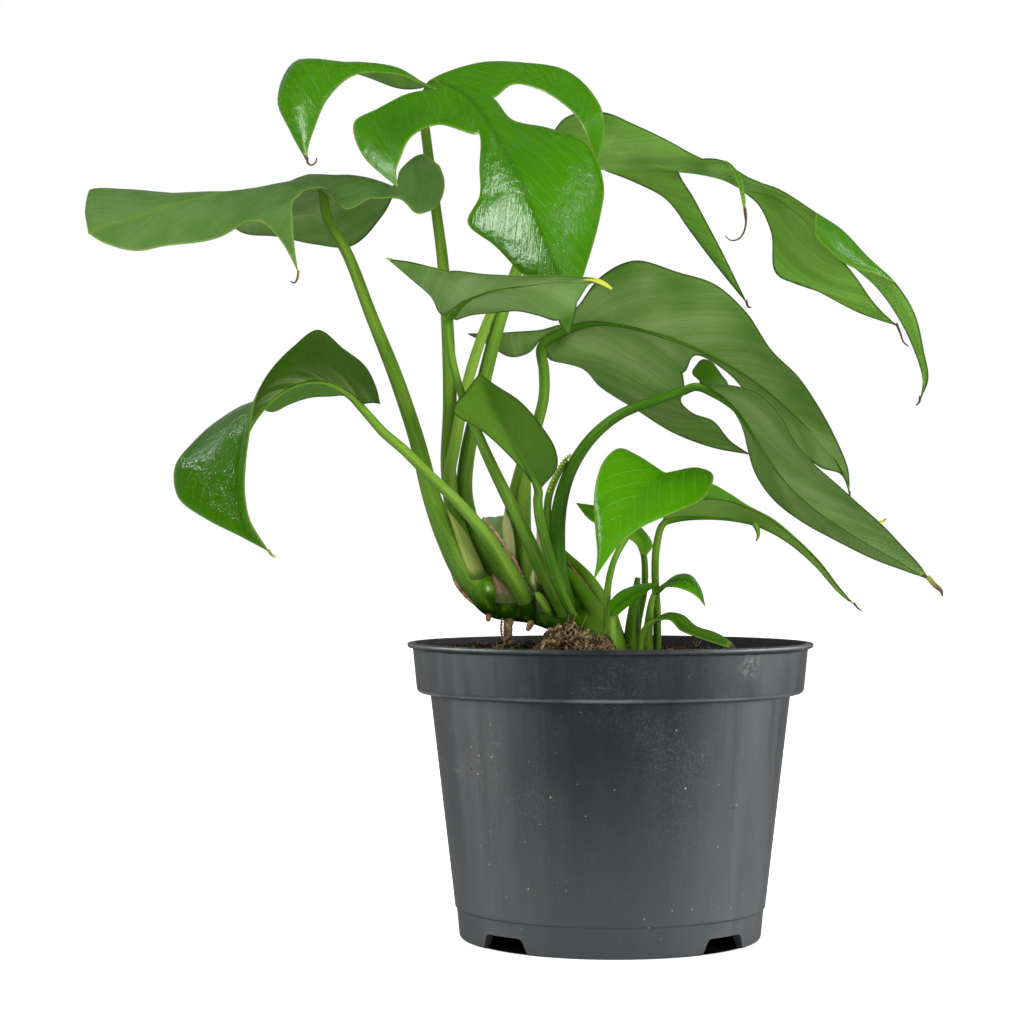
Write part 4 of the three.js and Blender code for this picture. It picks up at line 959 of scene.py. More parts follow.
# The leaves. A place is "x z y": x and z on the front view and y the depth. A section is edge, midrib and
# edge, and the last is the tip. up says which way the blade's upper side faces, and bow how far it arches.
LEAVES = {
    "leaf_left": {
        "up": 1,
        "stalk": path("""-39 109 -6, -46 117 -7, -52 128 -8, -57 140 -8, -62.3 160 -8, -69 180 -6, -77 200 -3,
        -84.3 219 0, -91 231 3"""),
        "radii": [4.6, 4.6, 3.9, 3, 2.5, 2.3, 2, 1.8, 1.6, 1.5],
        "sections": rows("""-69.5 241 -4, -93 244.3 6, -69 239.6 12 / -77 237.3 -9, -96 245 6, -73 232 20 /
        -85.5 233.8 -16, -100 244 6, -83 222 28 / -91 240.2 -17, -104 242.3 6, -95 222.5 32 / -99 239.5 -18,
        -109 241.3 5, -107 225 32 / -116.5 230 -18, -117 240.2 3, -119 226.5 30 / -127 224.3 -15, -127 238.8 0,
        -128 236 27 / -143 222 -12, -141 235 -3, -141 238.8 16 / -153 220.4 -11, -153 231 -5, -156 240.3 12 /
        -163 223 -10, -163 228 -7, -168.5 239.5 4 / -168 226 -8"""),
        "lobes": [
            lobe("first", 4, 5, """-102 236 -21, -106 234 -22, -112 229.5 -21 / -102 228 -26, -104 227 -26,
        -107 225 -25 / -101.3 220 -28, -102.3 220 -28, -103.7 220 -28 / -100.2 213 -28"""),
            lobe("first", 0, 1, """-67.5 246.5 -8, -66 242 -9, -67.5 237 -12 / -60.5 251.6 -13, -59.5 242 -12,
        -62 232.4 -15 / -55 248 -15, -53.2 241 -14, -56 234 -15"""),
        ],
    },
    "leaf_crown": {
        "up": -1,
        "stalk": path("""-40 110 2, -45 120 4, -49.5 133 5, -52 150 5, -51.5 170 5, -52 190 6, -53.5 214 8,
        -56 234 10, -59 256 11, -60 268 10"""),
        "radii": [3.4, 3.2, 2.8, 2.5, 2.3, 2.1, 1.9, 1.7, 1.6, 1.5, 1.4],
        "sections": rows("""-59 273.5 10, -58 275 9, -57 276 9 / -56 272.5 1, -52 273.5 1, -48 275 3 / -48 265 -11,
        -45 269.5 -9, -37.5 269.6 -6 / -42 258 -20, -39 262 -20, -31 262.3 -13 / -42 247 -25, -34 253 -27,
        -20 260 -14 / -42 238 -28, -29 243 -32, -7 254.5 -16 / -45.8 229.5 -28, -25 233 -35, -2 242 -19 /
        -37 222 -31, -21 223 -36, -3 232 -23 / -27 212 -33, -16 212 -35, -8 214 -29 / -12 203 -33"""),
        "lobes": [
            lobe("first", 0, 1, """-67 272.5 14, -68 279 6, -68 277 -2 / -80 277 14, -83 281.5 2, -82 277 -8 /
        -100 282 2, -97 279 -10, -91 269 -16 / -107 269 -12, -101 267 -19, -95 260 -20 / -103 259 -17, -99 257 -21,
        -97 254 -21 / -97.5 249 -20"""),
            lobe("first", 1, 3, """-65 271 -6, -62 267 -12, -55 261 -22 / -75 266 -14, -71 262 -19, -64 257 -27 /
        -82.5 261.5 -22, -76 256 -27, -67.5 250 -31 / -79.5 251 -28, -74 249 -31, -68.8 246 -33 / -68 240.5 -32"""),
            lobe("second", 0, 2, """-42 281 11, -36 278 3, -31 274 -4 / -28 281 11, -25 278 4, -22 272 -4 /
        -14 278.5 5, -14 274 -2, -13 266 -9 / -3 267 -9, -6 265 -11, -8.5 260 -13 / -1.8 260 -9.5, -4 257.5 -11,
        -6.5 254.5 -12 / -4 248.5 -10.5"""),
        ],
    },
    "leaf_right_high": {
        "up": -1,
        "stalk": path("""-34 109 3, -38 118 6, -44 130 8, -46.8 142 8, -46 154 7, -43 168 6, -39.5 183 4,
        -35.5 198 5, -30 214 8, -24 231 12"""),
        "radii": [3.2, 3.2, 3, 2.7, 2.5, 2.4, 2.3, 2.2, 2, 1.8, 1.6],
        "wings": [
            limb("""-46.5 134 4, -51.5 145 1, -49.5 160 1, -46.5 175 1, -42.5 189 1.5, -37 203 3.5, -33 209 6""",
        [1.2, 1.9, 1.9, 1.8, 1.7, 1.4, 1]),
        ],
        "sections": rows("""-20 245.5 18, -18 248 15, -21 254 10 / -12 245.5 20, -9 249 13, -14 263.5 0 /
        -2 246.7 21, 1 249.3 12, -2 265 -6 / 9 246.4 20, 10 248.9 11, 8 261 -8 / 22 246 17, 20.5 247.8 10,
        18 256.3 -8 / 31 244.8 14, 31 246 8, 30 250 -5 / 37 243 11, 37 244.4 7, 38 248 -3 / 42 240.5 10, 43 242 6,
        46 243.4 -1 / 52 238 10, 53 239.3 5, 55 240 0 / 62 231 9, 63 233.8 3, 66 233 -2 / 70 222.5 8, 72 225.5 1,
        75 227.2 -4 / 78 215.5 6, 81 217 0, 84 217.3 -4 / 86 208.5 2, 89 208.8 -1, 92.5 209.5 -4 / 92.5 199.5 -1,
        95 199 -3, 98.3 200 -5 / 97.5 189.5 -4, 99.5 188 -5, 101.2 188 -6 / 100.7 179 -6, 101.7 178 -6.5,
        102.6 179 -7 / 99.8 172 -7"""),
        "lobes": [
            lobe("first", 2, 4, """8 242.5 21, 16 241 20, 23.5 243 16 / 18 237 20, 22.5 236.5 19, 27 237.5 17 /
        26 226.5 18, 28.5 227.5 17, 31.5 229 17 / 33.5 216.5 16, 35 217.5 15, 37 218.5 15 / 44.5 203 13"""),
            lobe("first", 7, 11, """48 235 11, 58 229 10, 73 219.5 8 / 52 226 12, 62 219 11, 76.5 215.5 7 /
        53.5 213 13, 67 209 11, 80 211 7 / 65 208.3 12, 75 205 10, 84 205 6 / 80 200.5 10, 83.5 201 9, 88 200.5 7 /
        93 196 8"""),
            lobe("second", 5, 6, """36 249.5 -9, 37.5 249 -9, 39 248.3 -8 / 40 244.8 -13, 41 244.5 -13,
        42 244.3 -12.5 / 42.2 238 -15, 42.9 238 -15, 43.6 238 -15 / 43.6 229.5 -15"""),
            lobe("second", 9, 12, "66 229 -8, 76 221.5 -9, 87.5 212 -7 / 66 225.6 -9, 75 216.8 -10, 84 213.6 -8"),
        ],
    },
    "leaf_right_broad": {
        "up": -1,
        "stalk": path("""-27 109 4, -31 117 8, -32.5 128 11, -31.5 138 13, -29.5 147 14, -26.5 157 14, -23 166 14,
        -21.2 174 14, -21.2 182 14"""),
        "radii": [2.8, 2.8, 2.5, 2.2, 2, 2, 1.9, 1.8, 1.8, 1.7],
        "wings": [
            limb("-24.5 112 6, -27.5 122 9, -28 133 11, -27.5 143 12.5, -26.5 152 13.5", [2.2, 2.7, 2.7, 2.2, 1]),
        ],
        "sections": rows("""-22 192 12, -21.5 190 13, -21.5 187.5 14 / -16 196.5 6, -15 194.5 9, -20 186 14 /
        -10 203 -3, -8 197 4, -8 188 8 / -3 212 -12, 1 197 -2, 2 186 5 / 8 217.3 -18, 11 195 -6, 13 184 1 /
        22 213.5 -22, 21 191.5 -9, 23.5 181 -4 / 34 209.5 -24, 30 187.8 -12, 27.5 186.8 -11 / 44 200.5 -24,
        38 184 -14, 38 181 -13 / 52 188.5 -23, 46 179 -15, 46 172 -12 / 61 179.5 -21, 55 172 -15, 54 163 -12 /
        68 169 -18, 63 164 -14, 61 156 -12 / 73.5 158.5 -14, 70 156 -13, 68 150.5 -12 / 76.8 150 -11, 75.5 149 -11,
        74.5 148.3 -11 / 77.3 141.5 -9"""),
        "lobes": [
            lobe("second", 1, 5, """-9 182.8 15, 4 180 8, 24 175.5 0 / -3 176.5 18, 9 173 12, 23 171.8 6 /
        8 169.5 20, 17 167.5 17, 27 168 11 / 20 162 21, 27 162 19, 33.5 165.5 15 / 33 157 21, 36 158.5 20,
        39 159 18 / 45.5 154.7 19"""),
            lobe("first", 0, 1, """-26 187.6 15, -25 191 11, -22 195 10 / -32 186.2 15, -32 190.5 10, -31 194.3 11 /
        -39 190 13, -39.5 191.7 11, -39.5 193.8 12 / -46 193.8 12"""),
        ],
    },
    "leaf_right_low": {
        "up": -1,
        "stalk": path("""-10 97 -9, -13.5 106 -10, -16.3 116 -12, -17 128 -13, -15.8 140 -15, -12.5 150 -17,
        -6 160 -20, 3 167.5 -23, 14 172 -26, 23 175 -28"""),
        "radii": [2.8, 2.9, 2.8, 2.6, 2.3, 2, 1.8, 1.6, 1.5, 1.4, 1.3],
        "wings": [
            limb("""-18.5 126 -12, -20 134 -13, -19.7 141 -14, -17.5 147 -15.5, -14 153 -17""",
        [1, 1.2, 1.2, 1.1, 0.8]),
        ],
        "sections": rows("""29 178 -29, 28 176.5 -29, 29 175.3 -29 / 38 177.3 -38, 34 175 -30, 35 173.5 -28 /
        48 174.5 -46, 39.5 170.5 -32, 40 168.5 -29 / 55 167.5 -49, 44 164.8 -33, 42.8 163 -28 / 60 158.5 -50,
        48 158.3 -34, 44.3 157 -26 / 66 151.5 -50, 52.5 151.5 -35, 47 148.5 -26 / 73 145.3 -50, 58 144.5 -37,
        53 140 -27 / 80 139 -49, 66 137.3 -39, 62 133 -30 / 88 131.8 -47, 76 130.3 -40, 72 127.5 -33 / 95 124.5 -45,
        87 124 -41, 84 121.5 -36 / 100 119 -42, 95.5 119 -41, 93 118 -39 / 103 114.5 -40"""),
        "lobes": [
            lobe("first", 0, 1, """26.5 181 -25, 31 182 -27, 36 180.5 -31 / 28.5 184.5 -21, 30.7 185.5 -21,
        33.5 184 -23"""),
        ],
    },
    "leaf_left_low": {
        "up": 1,
        "stalk": path("""-26 104.5 -5, -29.5 112 -12, -35 121.5 -16.5, -42 131.5 -20, -50 140.5 -22, -58 148 -23,
        -66 156 -24, -73 162 -24, -77 166.5 -24"""),
        "radii": [3.2, 3, 2.4, 2, 1.8, 1.7, 1.6, 1.5, 1.4, 1.3],
        "sections": rows("""-74 171 -30, -79.5 171 -24, -80 170 -20 / -75.5 177 -34, -83 174.3 -24, -85 173.5 -15 /
        -79 183.5 -37, -88 177 -24, -90 173.5 -10 / -86 189 -37, -94 178.6 -24, -97 173 -6 / -94 195 -36,
        -100 177.8 -24, -103 171 -3 / -102 189.5 -36, -106 174.7 -24, -109 168.5 -1 / -109.5 181.5 -36,
        -111.5 170 -24, -116 171 -2 / -114 173 -36, -116 163.5 -25, -126 166 -4 / -116 162 -36, -119 156 -26,
        -134 159 -8 / -117.3 151 -37, -120 148 -28, -140 151 -13 / -117.5 142 -38, -119.5 140 -31, -139 141 -19 /
        -116 134 -39, -118 132.5 -34, -130 134 -27 / -113 128.5 -39, -114.5 127.5 -36, -119 128.5 -33 /
        -109.5 123.3 -38"""),
    },
    "leaf_middle": {
        "up": -1,
        "stalk": path("""-11 97 -13, -16 107 -15, -21.5 117 -17, -27 129 -18.5, -33.5 142 -19.5, -39 153.5 -21,
        -44 165 -22, -48 175 -23, -50.5 184 -24, -52 193 -24"""),
        "radii": [2.6, 2.6, 2.4, 2.1, 1.9, 1.7, 1.5, 1.3, 1.3, 1.4, 1.5],
        "sections": rows("""-54.5 200 -25, -52 199 -24, -49.5 198 -23 / -55 206 -34, -49 202.5 -29, -45 199.5 -23 /
        -52 213.7 -50, -43 206 -38, -38 200.3 -27 / -40 212.8 -57, -35 208.3 -45, -30 201 -34 / -28 212.3 -60,
        -26 209.5 -50, -23 199.6 -40 / -17 212.4 -59, -17 210.5 -52, -16.5 198 -42 / -10 212 -55, -9.5 210.3 -51,
        -10.5 204 -45 / -5 211.3 -51, -5 210.6 -49, -6 210 -46 / 0.3 208 -48"""),
        "lobes": [
            lobe("first", 0, 2, """-57.5 205.5 -31, -58 209.5 -39, -58 215.3 -51 / -63 210.5 -38, -63.5 212.8 -43,
        -64 216.8 -49 / -71.5 217.8 -45"""),
            lobe("second", 5, 6, "-16.2 197 -42, -13.7 197.8 -43, -11 200 -44 / -13 193 -43"),
        ],
    },
    "leaf_folded": {
        "up": -1,
        "stalk": path("-9.5 98.5 -15, -15 109 -20.5, -18 117 -22, -20.5 126 -23.5, -22.5 134 -24.5, -23.2 140 -25"),
        "radii": [1.5, 1.6, 1.6, 1.6, 1.6, 1.5, 1.4],
        "sections": rows("""-24 144 -25, -23 143.5 -25, -22 144 -25 / -28 149.5 -29, -26 149 -28, -17 150.5 -24 /
        -34 156 -33, -30.5 156 -31, -17.5 156.5 -24 / -41 162.3 -36, -35 163.5 -33, -22 164 -25 / -50.5 168.8 -36,
        -39 171 -33, -29 172 -26 / -46.5 175 -33, -41 176.5 -32, -37 177.3 -28 / -42 181 -30"""),
    },
    "leaf_front_small": {
        "up": -1, "bow": 0.05, "small": True, "plain": True,
        "stalk": path("-0.6 88 -19, -1 104 -19, -0.5 113 -18, 1.5 121 -17, 5 127.5 -15, 11 136 -14, 16 144 -17"),
        "radii": [1.2, 1.2, 1.1, 1, 1, 0.95, 0.9, 0.9],
        "sections": rows("""17 149.4 -20, 18 148.8 -20, 19.5 149.2 -20 / 9 154.5 -22, 13.5 146.5 -23, 28 150.6 -17 /
        3 156.8 -24, 9 142.5 -27, 33.2 148.3 -20 / -1.8 153 -27, 5.5 138.5 -31, 30.5 141 -25 / -4.3 146.5 -30,
        2.5 134 -34, 21 136.2 -31 / -5.2 139 -32, -0.2 129.3 -36.5, 10 131.2 -34.5 / -4.6 130 -34.5, -2.2 124 -37.5,
        3 125.7 -36 / -4 122 -36.5, -3.4 119.5 -38, -1.8 119.5 -37 / -5.2 114.3 -37.5"""),
    },
    "leaf_narrow": {
        "up": -1, "small": True,
        "stalk": path("15.2 88 -12, 15.2 104 -12, 14.6 115 -11, 15 125 -9.5"),
        "radii": [1.3, 1.3, 1.2, 1.2, 1.1],
        "sections": rows("""17.5 135 -9, 17 133.5 -8, 17.5 135 -6 / 22 139.5 -13, 23 135 -7, 23 143.5 1 /
        30 140.6 -13, 31 134.7 -6, 31 145.8 2 / 37 140.2 -12, 38.5 134.2 -5, 38 142.6 1 / 44 138 -10, 46 132.7 -5,
        44.5 138.4 -1 / 52 134 -8, 53 129.5 -5, 52.5 134.2 -3 / 59.5 128 -8, 60.5 124.5 -6, 60 128 -4 /
        67 120.8 -7.5, 67.5 117.8 -6, 67.5 120.6 -4.5 / 73.5 112.7 -7, 73.5 110.8 -6, 73.6 112.6 -5 / 79.3 106 -6"""),
    },
    "leaf_behind": {
        "up": 1, "small": True,
        "stalk": path("8.5 88 -5, 9 100 -5, 11.2 112 -4"),
        "radii": [1.2, 1.2, 1.1, 1],
        "sections": rows("""10 122.5 -4, 11 122 -4, 12 122.5 -4 / 8.3 126 -6, 10 126 -5, 13.8 125.7 -2 /
        4.5 128.5 -7, 6.5 129.5 -6, 9.5 132 0 / -1 131 -8, 1 132.7 -6, 3.5 136.5 0 / -6.5 133.8 -8, -4.5 135.8 -6,
        -3 138 -2 / -11 139.3 -6"""),
    },
    "leaf_new": {
        "up": 1, "small": True,
        "stalk": path("1 88 -25, 0.5 98 -25"),
        "radii": [1.8, 1.6, 1.2],
        "sections": rows("""-0.6 103.6 -24.5, 0.6 102.5 -26, 2 102.3 -24.5 / -0.2 107 -22, 1.8 105.2 -26,
        3.6 104 -23 / 3 110.6 -22, 4.3 108 -27, 6 106 -23 / 8 112.7 -23, 8.5 110.6 -28, 9.6 108.8 -24 /
        12.5 113.4 -26, 12.8 112.2 -28.5, 13 111.3 -26 / 16.5 113.6 -28"""),
    },
    "leaf_sprig": {
        "up": 1, "small": True,
        "stalk": path("12.4 88 -16, 12.3 98 -16"),
        "radii": [1.8, 1.5, 0.8],
        "sections": rows("""13.5 110.8 -15, 14 110.3 -15.5, 14.5 110 -16 / 17.5 113.2 -12, 17.5 112.4 -16,
        17.5 111.9 -18 / 21.5 116 -10, 21.8 114.3 -16, 21.5 111.9 -20 / 25.5 116.2 -10, 25.7 114 -17, 25 110.8 -21 /
        28.8 112.5 -13, 28.4 111.3 -18, 28 109 -20 / 31 105.5 -18"""),
    },
    "leaf_lying": {
        "up": 1, "small": True,
        "stalk": path("9.5 88 -21, 10.5 97 -21.5, 12.5 100.3 -22"),
        "radii": [1, 0.9, 0.8, 0.7],
        "sections": rows("""15 102.4 -21.5, 15 101.9 -22, 15 101.2 -22.5 / 19 104 -20, 19.3 103 -23,
        19.3 101.4 -25 / 23.5 103.2 -21, 23.3 101.3 -26, 22.5 98.2 -27 / 28 99.5 -25, 28 98.2 -29, 27 96.3 -30 /
        34 97.5 -27, 34 96 -32, 33 94.2 -34 / 38.5 94.8 -30, 38 94 -34, 37 93 -36 / 41 91.8 -35"""),
    },
    "leaf_back": {
        "up": 1,
        "stalk": path("-28 106 6"),
        "radii": [1.8, 1.4],
        "sections": rows("""-34 112 15, -33 112 15, -32 112.5 15 / -42 117 20, -37 118 22, -30 120 20 / -46 125 30,
        -39 126 30, -29 128 28 / -45 131 42, -38 132 42, -29 133 38 / -41 134 52, -37 134.5 53, -32 134.5 50 /
        -36 133 62"""),
    },
}

# The creeping stem, its old leaf stumps, the roots that hold it and the shoot beside it. A ball of the root plug
# is [x, z, y, radius].
STEM = limb("""-44 112 -5, -38 107.5 -4, -30 106 -3, -22 104.2 -4, -14 101 -8, -6 98.5 -13, 0 94 -15, 3 86 -15""",
    [3.6, 5, 4.9, 4.7, 4.7, 4.9, 4.9, 3.8])
STUMPS = [
    limb("-1 95 -14, -5 104.5 -13, -10 112 -9, -17.5 120.5 -4", [3.6, 2.9, 2.4, 1.8]),
    limb("2 95 -12, -1.5 105 -8, -6.5 113.5 -4, -17 124.5 2", [3.4, 2.9, 2.4, 1.6]),
]
ROOTS = [
    limb("-32 104 -4, -32.8 99 -5, -32.8 94 -5, -33.5 84 -5", [1.4, 1.5, 1.3, 1.1]),
    limb("-38 106 -5, -39 103 -6, -39.2 101.2 -6", [1, 0.9, 0.7]),
    limb("-25 102 -6, -25.8 99.6 -7, -26.6 98.2 -7.4", [1.2, 1, 0.6]),
]
SHOOT = limb("7 86 -13, 7 97 -13, 8.2 108 -11, 9 115 -10", [2.6, 2.3, 1.6, 0.9])
PLUG = [[-17, 94.5, -22, 4.6], [-9.5, 93.5, -25, 5.4], [-3.5, 92, -27, 4.8]]

# Thin sheaths that once wrapped a new leaf, and scraps of them on the stem, as
# (finish, slot, node that each stands for, sections).
SHEATHS = {
    "sheath_pale": ("pale_sheath", "sheath", "sheath_pale", rows("""-44.5 114.5 -11.8, -42 114.5 -11.3,
        -39.5 115.5 -9 / -47.5 122 -12.2, -45 122.5 -11.6, -42.5 122.5 -9 / -50.5 131 -12, -48.5 130.5 -11.3,
        -46 129 -9 / -52.5 137.5 -11.6""")),
    "sheath_dry": ("brown_sheath", "dry_sheath", "sheath_dry", rows("""-37 107 -11.5, -33 106.5 -11.8, -29 107 -11 /
        -37.5 112 -12, -35 111.5 -12.6, -32 111 -12 / -38 117 -12""")),
    "sheath_yellow": ("cream_sheath", "sheath", "sheath_yellow", rows("""-21.5 119 -12.4, -20 118.8 -12.8,
        -18.7 119 -12.4 / -23.5 125 -12.2, -22.3 125 -12.8, -21 125.4 -12.2 / -23.6 131.2 -11.6""")),
    "scrap_rolled": ("cream_sheath", "sheath", "stem", rows("""-24.8 110.4 -11, -23.4 110 -13, -22 110.8 -11 /
        -26 114 -11.2, -24.4 113.8 -13.6, -22.4 114.2 -11.2 / -24.6 118.4 -11.8""")),
    "scrap_brown": ("brown_sheath", "dry_sheath", "stem", rows("""-24.5 104.5 -8, -21 103.5 -10, -17.5 104.5 -9 /
        -24.5 110 -8.6, -21 110.5 -10, -17.8 110.5 -9.4 / -23.4 114 -8.6, -21.4 114.6 -9.4, -19.4 114 -9 /
        -21.8 117 -8.8""")),
    "scrap_cream": ("cream_sheath", "sheath", "stem", rows("""-33.4 118 3.4, -32 118 2.6, -30.4 118 3.4 /
        -34.4 127 3.6, -32.6 127 2.6, -30.6 127 3.6 / -34.6 133 3.8, -33.4 133 3, -31.8 132.5 3.8 /
        -33.8 137.2 3.8""")),
}

# The dry margins beside some stalks, and what grows on the stem and between the stalks.
DRY_LINES = [
    limb("-40.8 134.6 -21, -36 128.6 -19, -31.6 122.4 -17.4, -27.8 115 -13.5", [0.3, 0.5, 0.6, 0.4]),
    limb("-13.6 120.2 -4.6, -10 115.6 -6.6, -6.8 111.4 -8.6, -5 107.6 -11.4", [0.3, 0.45, 0.45, 0.3]),
    limb("-51.4 117.8 -7, -49.2 113.2 -7, -46.2 109.2 -7, -43.4 106.2 -7", [0.2, 0.8, 0.7, 0.2]),
]
BUD = limb("-24 111 -11.5, -22.2 108.4 -13, -20 104.8 -13, -18.8 102.6 -12.4", [0.5, 1.5, 1.4, 0.5])
KNOB = limb("-39.4 113.6 -11, -38.8 111.2 -11.8, -38.4 107.8 -10.4", [1.4, 2, 1.5])
WEB = limb("-12 110 -9, -10.2 106.4 -10, -8 101 -11", [0.8, 1.9, 2.2])
PRONG = limb("-34.7 102 -6.5, -35 99 -7.5, -34.6 96 -7.5, -33.8 94.6 -7.2", [0.35, 0.4, 0.35, 0.3])
TWIG = limb("-20.5 91.5 -24, -16 96 -26, -11.5 100.2 -25", [2.6, 2.7, 1.3])
CLUMP = [-33.4, 91.6, -7, 3.4]

# What each leaf looks like. young blends its colours, and grey blends in a grey that is partly the leaf's own duller
# tone and partly a painted sheen; grey below 0 is dark, a painted shade, and glossy. light is each side's painted
# brightness, standing in for the light that falls on it, and below 0 it swaps the sides; top is the upper side's
# share of it, facing the underside's, and halves how far the painted brightness of the underside's two halves
# differs. stalk is the stalk's tone and rib the midrib's width and tone. dark lists painted shade spots "x z radius
# depth" on the front view and spots the dry "x z y radius"; beads and curls are tubes.
LOOKS = {
    "leaf_left": {"young": 0.15, "grey": 1, "stalk": 0.5, "light": 1.05, "rib": (0.9, 0.8),
        "curls": [
            curl("-100.3 214 -28, -100.6 211.6 -28, -101.6 210.1 -28.2, -102.9 210.6 -28.4",
                 [0.45, 0.35, 0.28, 0.2], (0.75, 1)),
        ]},
    "leaf_crown": {"young": 0.9, "grey": 0, "stalk": 0.55, "light": 1.5, "top": 0.66,
        "dark": places("-69 261 16 0.5, -30 250 16 0.35"), "spots": places("-97.3 249.5 -20 3.5"),
        "curls": [
            curl("-97.5 250.5 -20, -97.2 248.6 -20.3, -96 248 -20.6, -94.7 249 -20.8, -94.4 250.4 -21",
                 [0.45, 0.35, 0.28, 0.25, 0.18], (0.9, 1)),
        ]},
    "leaf_right_high": {"young": 1, "grey": 0.15, "stalk": 0.5, "light": -1.75, "rib": (0.9, 2), "facing": 0.55,
        "dark": places("9.7 251 6 0.4, 29 247.5 7 0.7, 40 243 7 0.6, 52 238 7 0.4"),
        "spots": places("100 173 -7 3, 43.6 232 -15 5, 92.6 197 8 3"),
        "curls": [
            curl("43.9 204.4 13, 44.6 202.4 13, 45.6 202.2 13", [0.45, 0.35, 0.2], (0.9, 1)),
            curl("43.6 234 -15, 43.9 230.5 -15, 43.2 226.5 -15, 41.4 224.2 -15, 38.9 223.8 -15, 37.2 225.2 -15",
                 [0.42, 0.34, 0.3, 0.26, 0.2, 0.15], (0.9, 1)),
            curl("92.3 197 8, 93.6 193.8 8, 94.6 191 8, 96.3 189.6 8", [0.5, 0.35, 0.28, 0.2], (0.9, 1)),
            curl("100 173.5 -7, 99.6 171.6 -7, 98.6 170.6 -7", [0.5, 0.35, 0.2], (0.9, 1)),
        ]},
    "leaf_right_broad": {"young": 0.1, "grey": 0.6, "stalk": 0.45, "light": 1.25, "rib": (0.45, 0.3),
        "dark": places("""31.2 181.4 7.5 1, -17 192.6 5.5 1, 3 213 12 0.6, 22 210 13 0.6, 45 195 14 0.5,
        61 173 14 0.4"""), "spots": places("77.3 142 -9 4"),
        "curls": [
            curl("77.2 143 -9, 77.4 140.8 -9, 78 139.4 -9", [0.4, 0.3, 0.2], (0.8, 1)),
        ]},
    "leaf_right_low": {"young": 0.25, "grey": 0.7, "stalk": 0.12, "light": 1.05, "rib": (0.5, 0.4),
        "dark": places("31.2 181.4 8.5 1.3"), "spots": places("103.5 114 -40 7"),
        "beads": [path("-19.8 142.5 -15, -18.6 146 -16.2, -16.8 149.6 -17.2, -14.8 152.6 -18, -12.6 154.6 -19")],
        "curls": [
            curl("102.4 115.4 -40, 104.6 112.8 -40, 106.6 111 -40, 107.2 109.2 -40",
                 [0.8, 0.8, 0.6, 0.25], (0.7, 1)),
            curl("87 133 -47.4, 88.2 133.4 -47.6, 88.9 134.2 -47.7", [0.5, 0.4, 0.2], (0.5, 0.8)),
        ]},
    "leaf_left_low": {"young": 0.6, "grey": -1, "stalk": 0.65, "light": 1.1, "top": 0.66, "rib": (0.65, 0.75),
                      "halves": 0.42, "spots": places("-117.2 125.7 -38 1.3"),
        "curls": [
            curl("-110 124 -38, -108.8 122.4 -38, -107.6 121.8 -38", [0.5, 0.4, 0.2], (0, 0.3)),
        ]},
    "leaf_middle": {"young": 0.15, "grey": 0.8, "stalk": 0.45, "light": 1.3, "rib": (0.35, 0.5),
        "dark": places("-13 197.5 5.5 0.9"), "spots": places("0.3 208 -48 2"),
        "curls": [
            curl("-9.5 211.5 -52.5, -5.5 211.2 -50.4, -2 209.9 -48.8, 0.6 208.2 -48",
                 [0.4, 0.7, 0.75, 0.4], (0.35, 0.5)),
            curl("-70.3 217.6 -45.6, -72 218 -45", [0.4, 0.2], (0.2, 0.3)),
        ]},
    "leaf_folded": {"young": 0.4, "grey": -0.6, "stalk": 0.3, "rib": (0.3, 0.6), "halves": -0.25},
    "leaf_front_small": {"young": 1, "grey": 0, "stalk": 0.55, "light": 1.25},
    "leaf_narrow": {"young": 0.4, "grey": 0.2, "stalk": 0.5, "light": 1.5, "spots": places("79 106.5 -6 5"),
        "curls": [
            curl("46.6 132.6 -9, 47.6 130.6 -9.4, 47.8 128.6 -9.6, 47.2 127 -9.8", [0.9, 0.8, 0.5, 0.2], (0, 0.1)),
            curl("78.6 107 -6, 80 105.2 -6, 81.2 104.4 -6", [0.4, 0.3, 0.15], (0.9, 1)),
        ]},
    "leaf_behind": {"young": 0.1, "grey": 0, "stalk": 0.4, "light": 1.7, "spots": places("-11 139.3 -6 3")},
    "leaf_new": {"young": 1, "grey": 0, "stalk": 0.7, "light": 1.3},
    "leaf_sprig": {"young": 0.9, "grey": 0, "stalk": 0.6, "light": 1.25},
    "leaf_lying": {"young": 0.3, "grey": 0.1, "stalk": 0.5, "light": 0.85, "spots": places("42 91.6 -35 7")},
    "leaf_back": {"young": 0, "grey": 1.2, "stalk": 0.4, "light": -1.3},
}
PLAIN_LOOK = {"light": 1, "halves": 0, "top": 1, "facing": 1, "rib": (0.6, 0.35), "dark": [], "spots": [],
              "beads": [], "curls": []}
LARGE = ["leaf_left", "leaf_crown", "leaf_right_high", "leaf_right_broad", "leaf_right_low", "leaf_left_low",
         "leaf_middle", "leaf_folded", "leaf_back"]
SMALL = ["leaf_front_small", "leaf_narrow", "leaf_behind", "leaf_new", "leaf_sprig", "leaf_lying"]


def stalk_path(leaf, blade, thick, rib):
    """The stalk's points, running on under the blade as its midrib, rib times as thick, and their radii."""
    end = leaf["radii"][-1]
    points, radii = list(leaf["stalk"]), leaf["radii"][:-1]
    for way in [0, 0.04] if leaf.get("plain") else [0, 0.08, 0.2, 0.34, 0.48, 0.62, 0.76, 0.88, 0.96]:
        radius = max(0.22, end * (1 - way) ** 0.9 * (1 + (rib - 1) * smooth(0, 0.25, way)))
        points.append(blade.rails[1].point(way) - blade.upward(way) * max(0, radius * 0.97 - thick * 0.1))
        radii.append(radius)
    return points, radii


